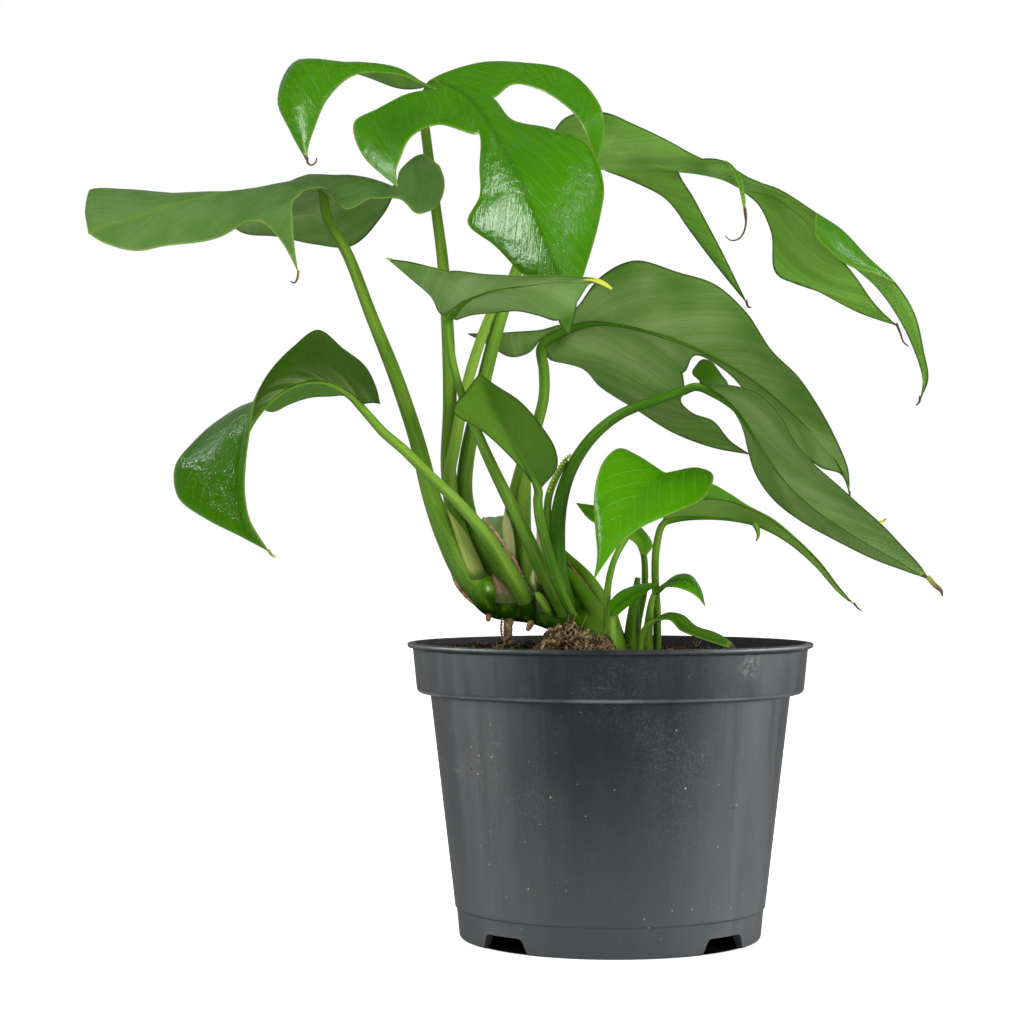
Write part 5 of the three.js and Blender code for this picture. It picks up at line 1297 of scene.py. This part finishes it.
def grow_leaf(name):
    """One whole leaf: its blade, and its stalk with the midrib, wings and curled tips."""
    leaf, look = LEAVES[name], {**PLAIN_LOOK, **LOOKS[name]}
    values = settings("leaf")
    thick = (values.thin if leaf.get("small") else values.thick) / MM
    seed = list(LEAVES).index(name) * 7.3
    blade = Blade(leaf)
    sheet = Form()
    tone = [look[key] for key in ("young", "grey", "light", "halves", "top", "facing")]
    blade.shell(sheet, thick, tone, seed, dark=look["dark"], dry=look["spots"])
    rib, rib_tone = look["rib"]
    points, radii = stalk_path(leaf, blade, thick, rib)
    blade.bm.free()
    stalk = Form()
    split = len(leaf["stalk"]) / (len(points) - 1)
    stalk.tube(points, radii,
               tone=lambda way: look["stalk"] * (1 + (rib_tone - 1) * smooth(split - 0.04, split + 0.06, way)))
    for wing in leaf.get("wings", []):
        stalk.tube(*wing, 12, tone=look["stalk"] + 0.35)
    for beads in look["beads"]:
        stalk.tube(beads, [0.25, 0.75] * 13, 8, 20, 1, (0.22, 0.22))
    for points, radii, dry in look["curls"]:
        stalk.tube(points, radii, 8, 4, look["stalk"], dry)
    sheet.piece(name + "_blade", "living_leaf", "leaf", name)
    stalk.piece(name + "_stalk", "green_stalk", "leaf", name)


class PLANT_OT_large_leaves(bpy.types.Operator):
    """Grow the large split leaves with their stalks"""
    bl_idname = "plant.large_leaves"
    bl_label = "Large leaves"

    def execute(self, context):
        for name in LARGE:
            grow_leaf(name)
        return {"FINISHED"}


class PLANT_OT_small_leaves(bpy.types.Operator):
    """Grow the small leaves on thin stalks and the shoot that they gather round"""
    bl_idname = "plant.small_leaves"
    bl_label = "Small leaves"

    def execute(self, context):
        for name in SMALL:
            grow_leaf(name)
        shoot = Form()
        shoot.tube(*SHOOT, tone=0.35)
        shoot.piece("shoot_stalk", "green_stalk", "stem", "shoot_stem")
        return {"FINISHED"}


class PLANT_OT_finishes(bpy.types.Operator):
    """Make the finishes of the plant, the soil and the pot"""
    bl_idname = "plant.finishes"
    bl_label = "Finishes"

    def execute(self, context):
        stem, soil = settings("stem"), settings("soil")
        leaf_finish()
        stalk_finish()
        stem_finish()
        root_finish()
        sheath_finish("pale_sheath", (0.26, 0.36, 0.06), (0.38, 0.43, 0.11), 0.2)
        sheath_finish("brown_sheath", (0.15, 0.09, 0.05), tuple(stem.dry_sheath))
        sheath_finish("cream_sheath", tuple(stem.sheath), (0.66, 0.68, 0.3), 0.25)
        soil_finish()
        coir_finish()
        plastic_finish()
        floor_finish()
        crumb_finish("soil_crumbs", [tuple(soil.dark), (0.02, 0.012, 0.007), (0.035, 0.02, 0.011), tuple(soil.bark),
                                     (0.014, 0.009, 0.006), (0.045, 0.028, 0.015), (0.24, 0.16, 0.085)])
        crumb_finish("coir_fibres", [tuple(soil.coir), (0.24, 0.14, 0.06), (0.5, 0.36, 0.2)])
        crumb_finish("coir_flakes", [(0.05, 0.03, 0.015), (0.4, 0.27, 0.13), (0.14, 0.08, 0.035), (0.66, 0.5, 0.29),
                                     (0.48, 0.34, 0.17)])
        crumb_finish("white_grit", [(0.75, 0.73, 0.68), (0.6, 0.57, 0.5)])
        crumb_finish("pot_specks", [tuple(settings("pot").dust), (0.09, 0.065, 0.045), (0.42, 0.42, 0.4)])
        return {"FINISHED"}


# The pot.
def rounded(corners):
    """A profile's points [radius, height, rounding], with each corner rounded by short steps."""
    made = []
    for i, (r, z, rounding) in enumerate(corners):
        here = Vector((r, z))
        if not rounding or i in (0, len(corners) - 1):
            made.append(here)
            continue
        before = Vector(corners[i - 1][:2]) - here
        after = Vector(corners[i + 1][:2]) - here
        cut = min(rounding, before.length * 0.45, after.length * 0.45)
        start, end = here + before.normalized() * cut, here + after.normalized() * cut
        for k in range(5):
            t = k / 4
            made.append(start * (1 - t) ** 2 + here * 2 * t * (1 - t) + end * t * t)
    return made


def turned(form, profile, sides, middle=Vector()):
    """A profile turned about the pot's axis, or an axis beside it; its first and last points lie on the axis."""
    points = [Vector((0, 0, profile[0].y))]
    for r, z in (tuple(p) for p in profile[1:-1]):
        points += circle(r, z, sides)
    points.append(Vector((0, 0, profile[-1].y)))
    faces = [[0, 1 + (k + 1) % sides, 1 + k] for k in range(sides)]
    last = 1 + (len(profile) - 3) * sides
    for first in range(1, last, sides):
        faces += band(first, first + sides, sides)
    faces += [[len(points) - 1, last + k, last + (k + 1) % sides] for k in range(sides)]
    form.add([point + middle for point in points], faces)


def plain_mesh(carrier, name):
    """The mesh that an object's modifiers make, as a new plain object; the carrier is removed."""
    graph = bpy.context.evaluated_depsgraph_get()
    mesh = bpy.data.meshes.new_from_object(carrier.evaluated_get(graph))
    bpy.data.objects.remove(carrier)
    mesh.name = name
    return linked(bpy.data.objects.new(name, mesh))


FOOT_RADIUS = 48.6
FOOT_BAND = 10
BODY_TOP_RADIUS = 57.8
COLLAR = {"low": 78.4, "low_radius": 62, "high_radius": 63.4}
LIP_THICK = 1.5
FLOOR = {"low": 4.6, "thick": 1.4, "hole": 4, "ring": 33, "holes": 8}
NOTCH = {"width": 15, "height": 5, "count": 4, "flare": 2.5, "out": 6, "in": 14}


def body_radius(z):
    return FOOT_RADIUS + (BODY_TOP_RADIUS - FOOT_RADIUS) * z / COLLAR["low"]


class PLANT_OT_pot(bpy.types.Operator):
    """Mould the pot: foot band, stepped collar, thin lip, notches and drain holes"""
    bl_idname = "plant.pot"
    bl_label = "Pot"

    def execute(self, context):
        values = settings("pot")
        height, wall, lip = values.height / MM, values.wall / MM, values.rim / MM / 2
        top = height - LIP_THICK
        low, floor = COLLAR["low"], FLOOR["low"] + FLOOR["thick"]
        corners = [
            (0, FLOOR["low"], 0), (FOOT_RADIUS - 3.2, FLOOR["low"], 0.5), (FOOT_RADIUS - 2.6, 0, 0.4),
            (FOOT_RADIUS - 0.3, 0, 1.1), (body_radius(FOOT_BAND) - 0.5, FOOT_BAND - 0.3, 0.25),
            (body_radius(FOOT_BAND), FOOT_BAND, 0.3), (body_radius(FOOT_BAND + 1), FOOT_BAND + 1, 0),
            (body_radius(low - 1), low - 1, 0), (body_radius(low), low, 0.5), (COLLAR["low_radius"], low, 1.6),
            (COLLAR["high_radius"], top - 0.4, 0.5), (lip - 0.1, top + 0.05, 0.5), (lip, height - 0.1, 0.7),
            (COLLAR["high_radius"] - wall, height, 0.8), (COLLAR["low_radius"] - wall, low + wall, 0.8),
            (body_radius(low) - wall, low + wall, 0.6),
            (body_radius(FLOOR["low"]) - wall, floor, 0.6), (0, floor, 0),
        ]
        form = Form()
        turned(form, rounded(corners), 240)
        pot = form.blank("pot_blank")
        cutters = []
        width, flare, high = NOTCH["width"] / 2, NOTCH["flare"], NOTCH["height"]
        for i in range(NOTCH["count"]):
            cut = Form()
            outline = rounded([(0, -1, 0), (width + flare, -1, 0), (width, high, 1.4), (0, high, 0)])
            outline = [p for p in outline if p.x > 0] + [Vector((-p.x, p.y)) for p in reversed(outline) if p.x > 0]
            angle = 2 * math.pi * (i + 0.5) / NOTCH["count"]
            turn = Matrix.Rotation(angle, 3, "Z")
            near = [turn @ Vector((p.x, -FOOT_RADIUS - NOTCH["out"], p.y)) for p in outline]
            far = [turn @ Vector((p.x, -FOOT_RADIUS + NOTCH["in"], p.y)) for p in outline]
            n = len(outline)
            faces = [list(range(n))[::-1], [n + k for k in range(n)]]
            faces += [[k, (k + 1) % n, n + (k + 1) % n, n + k] for k in range(n)]
            cut.add(near + far, [face[::-1] for face in faces])
            cutters.append(cut.blank(f"notch_{i}"))
        for i in range(FLOOR["holes"]):
            profile = [Vector(p) for p in ((0, 1), (FLOOR["hole"], 1), (FLOOR["hole"], 12), (0, 12))]
            cut = Form()
            turned(cut, profile, 24, circle(FLOOR["ring"], 0, FLOOR["holes"])[i])
            cutters.append(cut.blank(f"drain_{i}"))
        for cutter in cutters:
            recalculated(cutter)
            trim = pot.modifiers.new("cut", "BOOLEAN")
            trim.operation = "DIFFERENCE"
            trim.solver = "EXACT"
            trim.object = cutter
        recalculated(pot)
        made = plain_mesh(pot, "moulded_nursery_pot")
        for cutter in cutters:
            bpy.data.objects.remove(cutter)
        finished(made, "moulded_pot", "pot", "pot", sharp=math.radians(38))
        strewn("pot_dust", wall_sheet(values), scatter_tree("clinging_specks", crumb_shape),
               (values.specks, 0.2 * MM, 5), "pot_specks", "soil", "pot")
        return {"FINISHED"}


def recalculated(piece):
    """Turns the faces of a closed mesh outwards."""
    bm = bmesh.new()
    bm.from_mesh(piece.data)
    bmesh.ops.recalc_face_normals(bm, faces=bm.faces)
    bm.to_mesh(piece.data)
    bm.free()


def wall_sheet(values):
    """The outside of the pot's wall as an open sheet, for specks to sit on."""
    form = Form()
    low, sides = COLLAR["low"], 64
    body = [(body_radius(z) + 0.02, z) for z in (FOOT_BAND + 2, 30, 50, low - 2)]
    collar = [(COLLAR["low_radius"] + 0.25 + 1.1 * (z - low) / 15, z) for z in (low + 3, values.height / MM - 4)]
    for rings in (body, collar):
        points = [point for r, z in rings for point in circle(r, z, sides)]
        form.add(points, [face for i in range(len(rings) - 1) for face in band(i * sides, (i + 1) * sides, sides)])
    return form


# Things scattered over a surface.
def scatter_tree(name, shape, least=(0.35, 0.35, 0.3), most=(1.5, 1.3, 1.0)):
    """Places Amount small shapes over a surface, turned and sized at random, as one plain mesh."""
    tree = bpy.data.node_groups.new(name, "GeometryNodeTree")
    sockets = {"Amount": "Float", "Size": "Float", "Seed": "Int", "Finish": "Material"}
    for socket, kind in {"Geometry": "Geometry", **sockets}.items():
        tree.interface.new_socket(socket, in_out="INPUT", socket_type="NodeSocket" + kind)
    tree.interface.new_socket("Geometry", in_out="OUTPUT", socket_type="NodeSocketGeometry")
    make = Recipe(tree)
    given = make.step("NodeGroupInput").outputs

    def drawn(seed, least=0.0, most=1.0):
        """A number, or a vector, that is drawn anew for each bit."""
        vector = isinstance(least, tuple)
        step = make.step("FunctionNodeRandomValue", {"Min": least, "Max": most, "Seed": seed},
                         data_type="FLOAT_VECTOR" if vector else "FLOAT")
        return step.outputs[0 if vector else 1]

    area = make.step("GeometryNodeAttributeStatistic", {"Geometry": given["Geometry"], "Attribute": make.step(
        "GeometryNodeInputMeshFaceArea").outputs[0]}, data_type="FLOAT", domain="FACE").outputs["Sum"]
    spread = make.step("GeometryNodeDistributePointsOnFaces", {
        "Mesh": given["Geometry"], "Density": make.math("DIVIDE", given["Amount"], area), "Seed": given["Seed"]})
    turn = make.step("FunctionNodeEulerToRotation", {0: drawn(1, (-3.14,) * 3, (3.14,) * 3)}).outputs[0]
    big = make.math("POWER", drawn(3), 5) * 1.8 + 0.5
    grow = make.vector("SCALE", 0, a=drawn(2, least, most), Scale=big)
    bits = make.step("GeometryNodeInstanceOnPoints", {
        "Points": spread.outputs["Points"], "Instance": shape(make, given), "Rotation": turn,
        "Scale": grow}).outputs[0]
    bits = make.step("GeometryNodeStoreNamedAttribute", {"Geometry": bits, "Name": "chance", "Value": drawn(4)},
                     data_type="FLOAT", domain="INSTANCE").outputs[0]
    bits = make.step("GeometryNodeRealizeInstances", {0: bits}).outputs[0]
    bits = make.step("GeometryNodeSetMaterial", {"Geometry": bits, "Material": given["Finish"]}).outputs[0]
    make.step("NodeGroupOutput", {0: bits})
    return tree


def crumb_shape(make, given):
    """A lumpy crumb of twenty faces."""
    ball = make.step("GeometryNodeMeshIcoSphere", {"Radius": given["Size"], "Subdivisions": 1}).outputs[0]
    place = make.step("GeometryNodeInputPosition").outputs[0]
    lumps = make.step("ShaderNodeTexNoise", {"Vector": place, "Scale": 900.0}).outputs["Color"]
    lumps = make.vector("SUBTRACT", 0, a=lumps, b=(0.5, 0.5, 0.5))
    lumps = make.vector("SCALE", 0, a=lumps, Scale=given["Size"])
    return make.step("GeometryNodeSetPosition", {"Geometry": ball, "Offset": lumps}).outputs[0]


def fibre_shape(make, given):
    """A thin bent fibre, three-sided."""
    size = Number(make, given["Size"])
    line = make.step("GeometryNodeCurveQuadraticBezier", {
        "Resolution": 6, "Start": make.joined(size * -0.5), "Middle": make.joined(0.0, size * 0.35, size * 0.12),
        "End": make.joined(size * 0.5)}).outputs[0]
    outline = make.step("GeometryNodeCurvePrimitiveCircle", {"Resolution": 3, "Radius": size * 0.018}).outputs[0]
    return make.step("GeometryNodeCurveToMesh", {0: line, 1: outline, "Fill Caps": True}).outputs[0]


def strewn(name, cover, tree, values, material, slot, node):
    """One finished piece: a scatter tree's bits over the form cover; values are its amount, size and seed."""
    surface = cover.blank("cover")
    grow = surface.modifiers.new("scatter", "NODES")
    grow.node_group = tree
    amount, size, seed = values
    given = {"Amount": float(amount), "Size": size, "Seed": seed, "Finish": bpy.data.materials[material]}
    for socket in tree.interface.items_tree:
        if socket.item_type == "SOCKET" and socket.in_out == "INPUT" and socket.name in given:
            grow[socket.identifier] = given[socket.name]
    finished(plain_mesh(surface, name), None, slot, node)


# The soil.
def bumps(x, y, z):
    return (math.sin(x * 1.9 + 1.3 * math.sin(y * 1.1)) + math.sin(y * 2.3 + 1.7 * math.sin(x * 0.8 + z))) / 2


def soil_height(x, y):
    values = settings("soil")
    bank = values.mound / MM * math.exp(-((x + 8) ** 2 + (y + 6) ** 2) / 700)
    left = 3.6 * math.exp(-((x + 42) ** 2 + (y - 25) ** 2) / 900)
    right = 2.4 * math.exp(-((x - 28) ** 2 + (y - 15) ** 2) / 700)
    place = Vector((x, y, 3.0))
    crumbly = 0.9 * noise.noise(place * 0.22) + 0.7 * noise.noise(place * 0.6) + 0.35 * noise.noise(place * 1.4)
    return values.level / MM + bank + left + right + 0.3 * bumps(x, y, 0) + crumbly


def soil_top(radius, rings, sides):
    """The soil's upper surface as points ring by ring from the middle, and its faces."""
    points = [Vector((0, 0, soil_height(0, 0)))]
    for i in range(1, rings + 1):
        points += circle(radius * i / rings, soil_height, sides, 0.5 * (i % 2))
    faces = [[0, 1 + k, 1 + (k + 1) % sides] for k in range(sides)]
    for i in range(rings - 1):
        faces += band(1 + i * sides, 1 + (i + 1) * sides, sides, inward=True)
    return points, faces


class PLANT_OT_soil(bpy.types.Operator):
    """Fill the pot with crumbly soil and scatter crumbs, fibres and grit over it"""
    bl_idname = "plant.soil"
    bl_label = "Soil"

    def execute(self, context):
        values = settings("soil")
        top = COLLAR["low_radius"] - 2.1
        inner = body_radius(COLLAR["low"]) - 1.5
        floor = FLOOR["low"] + FLOOR["thick"] + 0.3
        sides, rings = 180, 62
        form = Form()
        points, faces = soil_top(top, rings, sides)
        rim = len(points) - sides
        low = [(top - 0.6, COLLAR["low"] + 1.5), (inner, COLLAR["low"] + 1.5), (inner, COLLAR["low"]),
               (body_radius(floor) - 1.5, floor)]
        for r, z in low:
            points += circle(r, z, sides, 0.5 * (rings % 2))
            faces += band(rim, rim + sides, sides, inward=True)
            rim += sides
        points.append(Vector((0, 0, floor)))
        faces += [[len(points) - 1, rim + (k + 1) % sides, rim + k] for k in range(sides)]
        form.add(points, faces)
        form.piece("soil_bed", "potting_mix", "soil", "soil")

        cover = Form()
        cover.add(*soil_top(top - 1.6, 24, 72))
        crumbs = scatter_tree("soil_scatter", crumb_shape)
        fibres = scatter_tree("fibre_scatter", fibre_shape)
        for name, tree, given, material in (
                ("soil_crumbs_top", crumbs, (values.crumbs, values.crumb * 0.5, 3), "soil_crumbs"),
                ("soil_fibres_top", fibres, (values.fibres, values.fibre, 8), "coir_fibres"),
                ("soil_grit_top", crumbs, (60, 0.35 * MM, 12), "white_grit")):
            strewn(name, cover, tree, given, material, "soil", "soil")
        return {"FINISHED"}


def uneven(rough, round_about, lengthwise, start=0):
    """A swelling for a tube, made by noise that runs round it and along it."""
    return lambda way, angle: 1 + rough * noise.noise(Vector((
        math.cos(angle) * round_about + start, math.sin(angle) * round_about, way * lengthwise)))


class PLANT_OT_plug(bpy.types.Operator):
    """Shape the fibrous top of the young plant's root plug"""
    bl_idname = "plant.plug"
    bl_label = "Root plug"

    def execute(self, context):
        form = Form()
        form.tube(*TWIG, 40, 30, shape=uneven(0.5, 2, 9))
        for i, (x, z, y, radius) in enumerate([*PLUG, CLUMP]):
            ball = bmesh.new()
            bmesh.ops.create_icosphere(ball, subdivisions=5, radius=1)
            centre = at((x, z, y))
            points = []
            for vert in ball.verts:
                way = vert.co.normalized()
                rough = noise.noise(way * 2.4 + Vector((i, 3, 0))) + 0.6 * noise.noise(way * 6 + Vector((0, i, 0)))
                rough += 0.4 * noise.noise(way * 15)
                reach = radius + 0.5 * bumps(way.x * 3 + i, way.y * 3, way.z * 3 + i) + 1.5 * rough - 0.3
                points.append(centre + Vector((way.x, way.y, way.z * 0.9)) * reach)
            form.add(points, [[v.index for v in face.verts] for face in ball.faces])
            ball.free()
        form.piece("coir_root_plug", "coir_plug", "coir", "root_plug")
        for name, tree, given, material, slot in (
                ("plug_fibres", (fibre_shape,), (260, 3.6 * MM, 21), "coir_fibres", "coir"),
                ("plug_flakes", (crumb_shape, (0.4, 0.25, 0.1), (2.2, 1.2, 0.5)), (620, 0.62 * MM, 23),
                 "coir_flakes", "coir"),
                ("plug_crumbs", (crumb_shape,), (260, 0.5 * MM, 22), "soil_crumbs", "soil")):
            strewn(name, form, scatter_tree(name, *tree), given, material, slot, "root_plug")
        return {"FINISHED"}


# The stem, its roots and sheaths. The stem's tubes melt into one skin, which is then evened out.
STEM_SKIN = 0.42
STEM_PASSES = 9
STALK_REACH = 7


class PLANT_OT_stem(bpy.types.Operator):
    """Shape the creeping stem with its rings, scars and stumps"""
    bl_idname = "plant.stem"
    bl_label = "Creeping stem"

    def execute(self, context):
        form = Form()
        form.tube(*STEM, 36, 14, 0.3, shape=uneven(0.09, 1.1, 6))
        for stump in STUMPS:
            form.tube(*stump, 28, 14, 0.4, shape=uneven(0.09, 1.1, 6))
        line = Curve(STEM[0])
        for leaf in LEAVES.values():
            feet = leaf["stalk"][:2]
            nearest = min((line.point(i / 40) for i in range(41)), key=lambda p: (p - feet[0]).length)
            if (nearest - feet[0]).length < STALK_REACH:
                one, two = leaf["radii"][:2]
                form.tube([nearest, *feet], [one * 0.9, one * 1.22, two * 0.7], 28, 14, 0.4)
        form.tube(*WEB, 24, 10, 0.4)
        blank = form.blank("stem_blank")
        skin = blank.modifiers.new("skin", "REMESH")
        skin.mode = "VOXEL"
        skin.voxel_size = STEM_SKIN * MM
        even = blank.modifiers.new("even", "SMOOTH")
        even.factor = 0.5
        even.iterations = STEM_PASSES
        finished(plain_mesh(blank, "creeping_stem_body"), "creeping_stem", "stem", "stem")
        return {"FINISHED"}


class PLANT_OT_roots(bpy.types.Operator):
    """Shape the aerial roots that come out of the stem"""
    bl_idname = "plant.roots"
    bl_label = "Aerial roots"

    def execute(self, context):
        for i, root in enumerate(ROOTS):
            form = Form()
            form.tube(*root, 20, 12, 0.5, shape=uneven(0.22, 2, 12, i * 5))
            form.piece(f"corky_root_{i + 1}", "aerial_root", "root", f"aerial_root_{i + 1}")
        prong = Form()
        prong.tube(*PRONG, 12, 24, 0.5, shape=lambda way, angle: 1 + 0.3 * math.sin(way * 60))
        prong.piece("root_prong", "aerial_root", "root", "aerial_root_1")
        return {"FINISHED"}


class PLANT_OT_sheaths(bpy.types.Operator):
    """Shape the papery sheaths"""
    bl_idname = "plant.sheaths"
    bl_label = "Sheaths"

    def execute(self, context):
        for name, (material, slot, node, sections) in SHEATHS.items():
            blade = Blade({"up": 1, "sections": sections})
            form = Form()
            blade.shell(form, 0.35, (0.5, 0.5, 1, 0, 1, 1), len(name) * 3.1, 0.25)
            blade.bm.free()
            form.piece(name + "_paper", material, slot, node)
        dry, knob, bud = Form(), Form(), Form()
        for line in DRY_LINES:
            dry.tube(*line, 10, 12, 0.5)
        dry.piece("dry_stalk_margins", "aerial_root", "dry_sheath", "stem")
        knob.tube(*KNOB, 28, 14, 0.4)
        knob.piece("stem_knob", "creeping_stem", "stem", "stem")
        bud.tube(*BUD, 20, 10, 0.75)
        bud.piece("stem_bud", "green_stalk", "stem", "stem")
        return {"FINISHED"}


# The studio: the camera's sensor in millimetres, the photograph's side in pixels and the floor in metres.
SENSOR = 36
PHOTO_SIDE = 1024
FLOOR_RADIUS = 9


def gloss_light(name, turn, lift, away, size, power, piece, roll):
    """A soft panel that shows only as a gloss on one piece: turn degrees to the right of the camera's way."""
    turn, lift = math.radians(turn), math.radians(lift)
    way = Vector((math.sin(turn) * math.cos(lift), -math.cos(turn) * math.cos(lift), math.sin(lift)))
    piece = bpy.data.objects[piece]
    aim = (Vector(piece.bound_box[0]) + Vector(piece.bound_box[6])) / 2
    holder = soft_light(name, aim + way * away, aim, size, power, roll)
    holder.visible_glossy = True
    holder.visible_diffuse = holder.visible_transmission = False
    shown = bpy.data.collections.new(name)
    shown.objects.link(piece)
    holder.light_linking.receiver_collection = shown


def soft_light(name, place, aim, size, power, roll=0):
    """A soft panel that lights the scene, rolled about its aim."""
    lamp = bpy.data.lights.new(name, "AREA")
    lamp.shape = "RECTANGLE"
    lamp.size, lamp.size_y = size
    lamp.energy = power
    holder = linked(bpy.data.objects.new(name, lamp))
    holder.location = place
    holder.visible_glossy = False
    turn = (Vector(aim) - Vector(place)).to_track_quat("-Z", "Y") @ Quaternion((0, 0, 1), math.radians(roll))
    holder.rotation_euler = turn.to_euler()
    return holder


class PLANT_OT_stage(bpy.types.Operator):
    """Set the white studio, its soft lights and the camera"""
    bl_idname = "plant.stage"
    bl_label = "Studio"

    def execute(self, context):
        values = settings("stage")
        scene = bpy.context.scene
        sheet = bmesh.new()
        bmesh.ops.create_circle(sheet, cap_ends=True, segments=96, radius=FLOOR_RADIUS)
        mesh = bpy.data.meshes.new("studio_floor")
        sheet.to_mesh(mesh)
        sheet.free()
        mesh.materials.append(bpy.data.materials["studio_paper"])
        floor = linked(bpy.data.objects.new("studio_floor", mesh))

        world = bpy.data.worlds.new("studio_surround")
        scene.world = world
        world.use_nodes = True
        make = Recipe(world.node_tree)
        world.node_tree.nodes.clear()
        way = make.step("ShaderNodeTexCoord").outputs["Generated"]
        _, ahead, up = make.parts(way)
        around = make.ramp(ahead, 0.0, 0.6) * make.ramp(up, 0.25, 0.75, 0.5, 0.03)
        rays = make.step("ShaderNodeLightPath").outputs
        glow = make.blend(rays["Is Glossy Ray"], values.surround, around)
        shade = make.step("ShaderNodeBackground", {"Color": (1, 1, 1, 1),
                                                   "Strength": make.blend(rays["Is Camera Ray"], glow, 1.0)})
        make.step("ShaderNodeOutputWorld", {"Surface": shade.outputs[0]})

        key = values.key
        soft_light("left_softbox", (-0.95, -0.9, 0.7), (0.0, 0.0, 0.15), (0.9, 0.9), key)
        soft_light("right_softbox", (1.05, -0.85, 0.28), (0.02, 0.0, 0.12), (0.9, 0.9), key * 1.75)
        soft_light("top_softbox", (0.0, 0.1, 1.3), (0.0, 0.0, 0.1), (1.2, 0.9), key)
        for name, turn, lift, away, size, power, piece, roll in (
                ("crown_gloss", -38, 10, 0.6, (0.34, 0.58), 3.1, "leaf_crown_blade", -24),
                ("side_gloss", 69, 30, 1.2, (0.03, 0.25), 0.55, "leaf_crown_blade", 10),
                ("flap_gloss", 57, 33, 1.2, (0.12, 0.2), 1.5, "leaf_right_high_blade", 10),
                ("fold_gloss", -109, 38, 1.2, (0.07, 0.07), 0.25, "leaf_left_low_blade", 0),
                ("low_gloss", -52, 33, 1.2, (0.06, 0.03), 0.2, "leaf_left_low_blade", 0),
                ("heart_gloss", -66, 25, 1.2, (0.4, 0.5), 2.5, "leaf_front_small_blade", 0),
                ("knob_gloss", -25, 15, 1.2, (0.6, 0.8), 9, "stem_knob", 0),
                ("left_pot", -88, 6, 1.2, (1.1, 1.1), 6.4, "moulded_nursery_pot", 0),
                ("right_pot", 88, 6, 1.2, (1.1, 1.1), 7.6, "moulded_nursery_pot", 0)):
            gloss_light(name + "_panel", turn, lift, away, size, key * power, piece, roll)

        lens = bpy.data.cameras.new("front_camera")
        lens.lens = values.lens
        lens.sensor_width = SENSOR
        lens.shift_y = SENSOR / PHOTO_SIDE
        lens.clip_start = 0.01
        camera = linked(bpy.data.objects.new("front_camera", lens))
        camera.location = ((EYE.x + POT_OFFSET) * MM, EYE.y * MM, EYE.z * MM)
        camera.rotation_euler = (math.radians(90), 0, 0)
        scene.camera = camera
        scene.view_settings.view_transform = "Standard"
        return {"FINISHED"}


STEPS = ["finishes", "pot", "soil", "plug", "stem", "roots", "sheaths", "large_leaves", "small_leaves", "stage"]


class PLANT_PT_panel(bpy.types.Panel):
    """Lists the plant's pieces and their settings"""
    bl_idname = "PLANT_PT_panel"
    bl_label = "Plant"
    bl_space_type = "VIEW_3D"
    bl_region_type = "UI"
    bl_category = "Plant"

    def draw(self, context):
        for step in STEPS:
            self.layout.operator("plant." + step)
        for group, kind in GROUPS.items():
            box = self.layout.box()
            box.label(text=group.title())
            for name in kind.__annotations__:
                box.prop(settings(group), name)


GROUPS = {"pot": PotSettings, "soil": SoilSettings, "leaf": LeafSettings, "stem": StemSettings,
          "stage": StageSettings}
CLASSES = [*GROUPS.values(), PLANT_OT_finishes, PLANT_OT_stage, PLANT_OT_pot, PLANT_OT_soil, PLANT_OT_plug,
           PLANT_OT_stem, PLANT_OT_roots, PLANT_OT_sheaths, PLANT_OT_large_leaves, PLANT_OT_small_leaves,
           PLANT_PT_panel]


def register():
    for kind in CLASSES:
        bpy.utils.register_class(kind)
    for group, kind in GROUPS.items():
        setattr(bpy.types.Scene, "plant_" + group, bpy.props.PointerProperty(type=kind))


def unregister():
    for group in GROUPS:
        delattr(bpy.types.Scene, "plant_" + group)
    for kind in reversed(CLASSES):
        bpy.utils.unregister_class(kind)


def main():
    register()
    for step in STEPS:
        getattr(bpy.ops.plant, step)()
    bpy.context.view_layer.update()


if __name__ == "__main__":
    main()
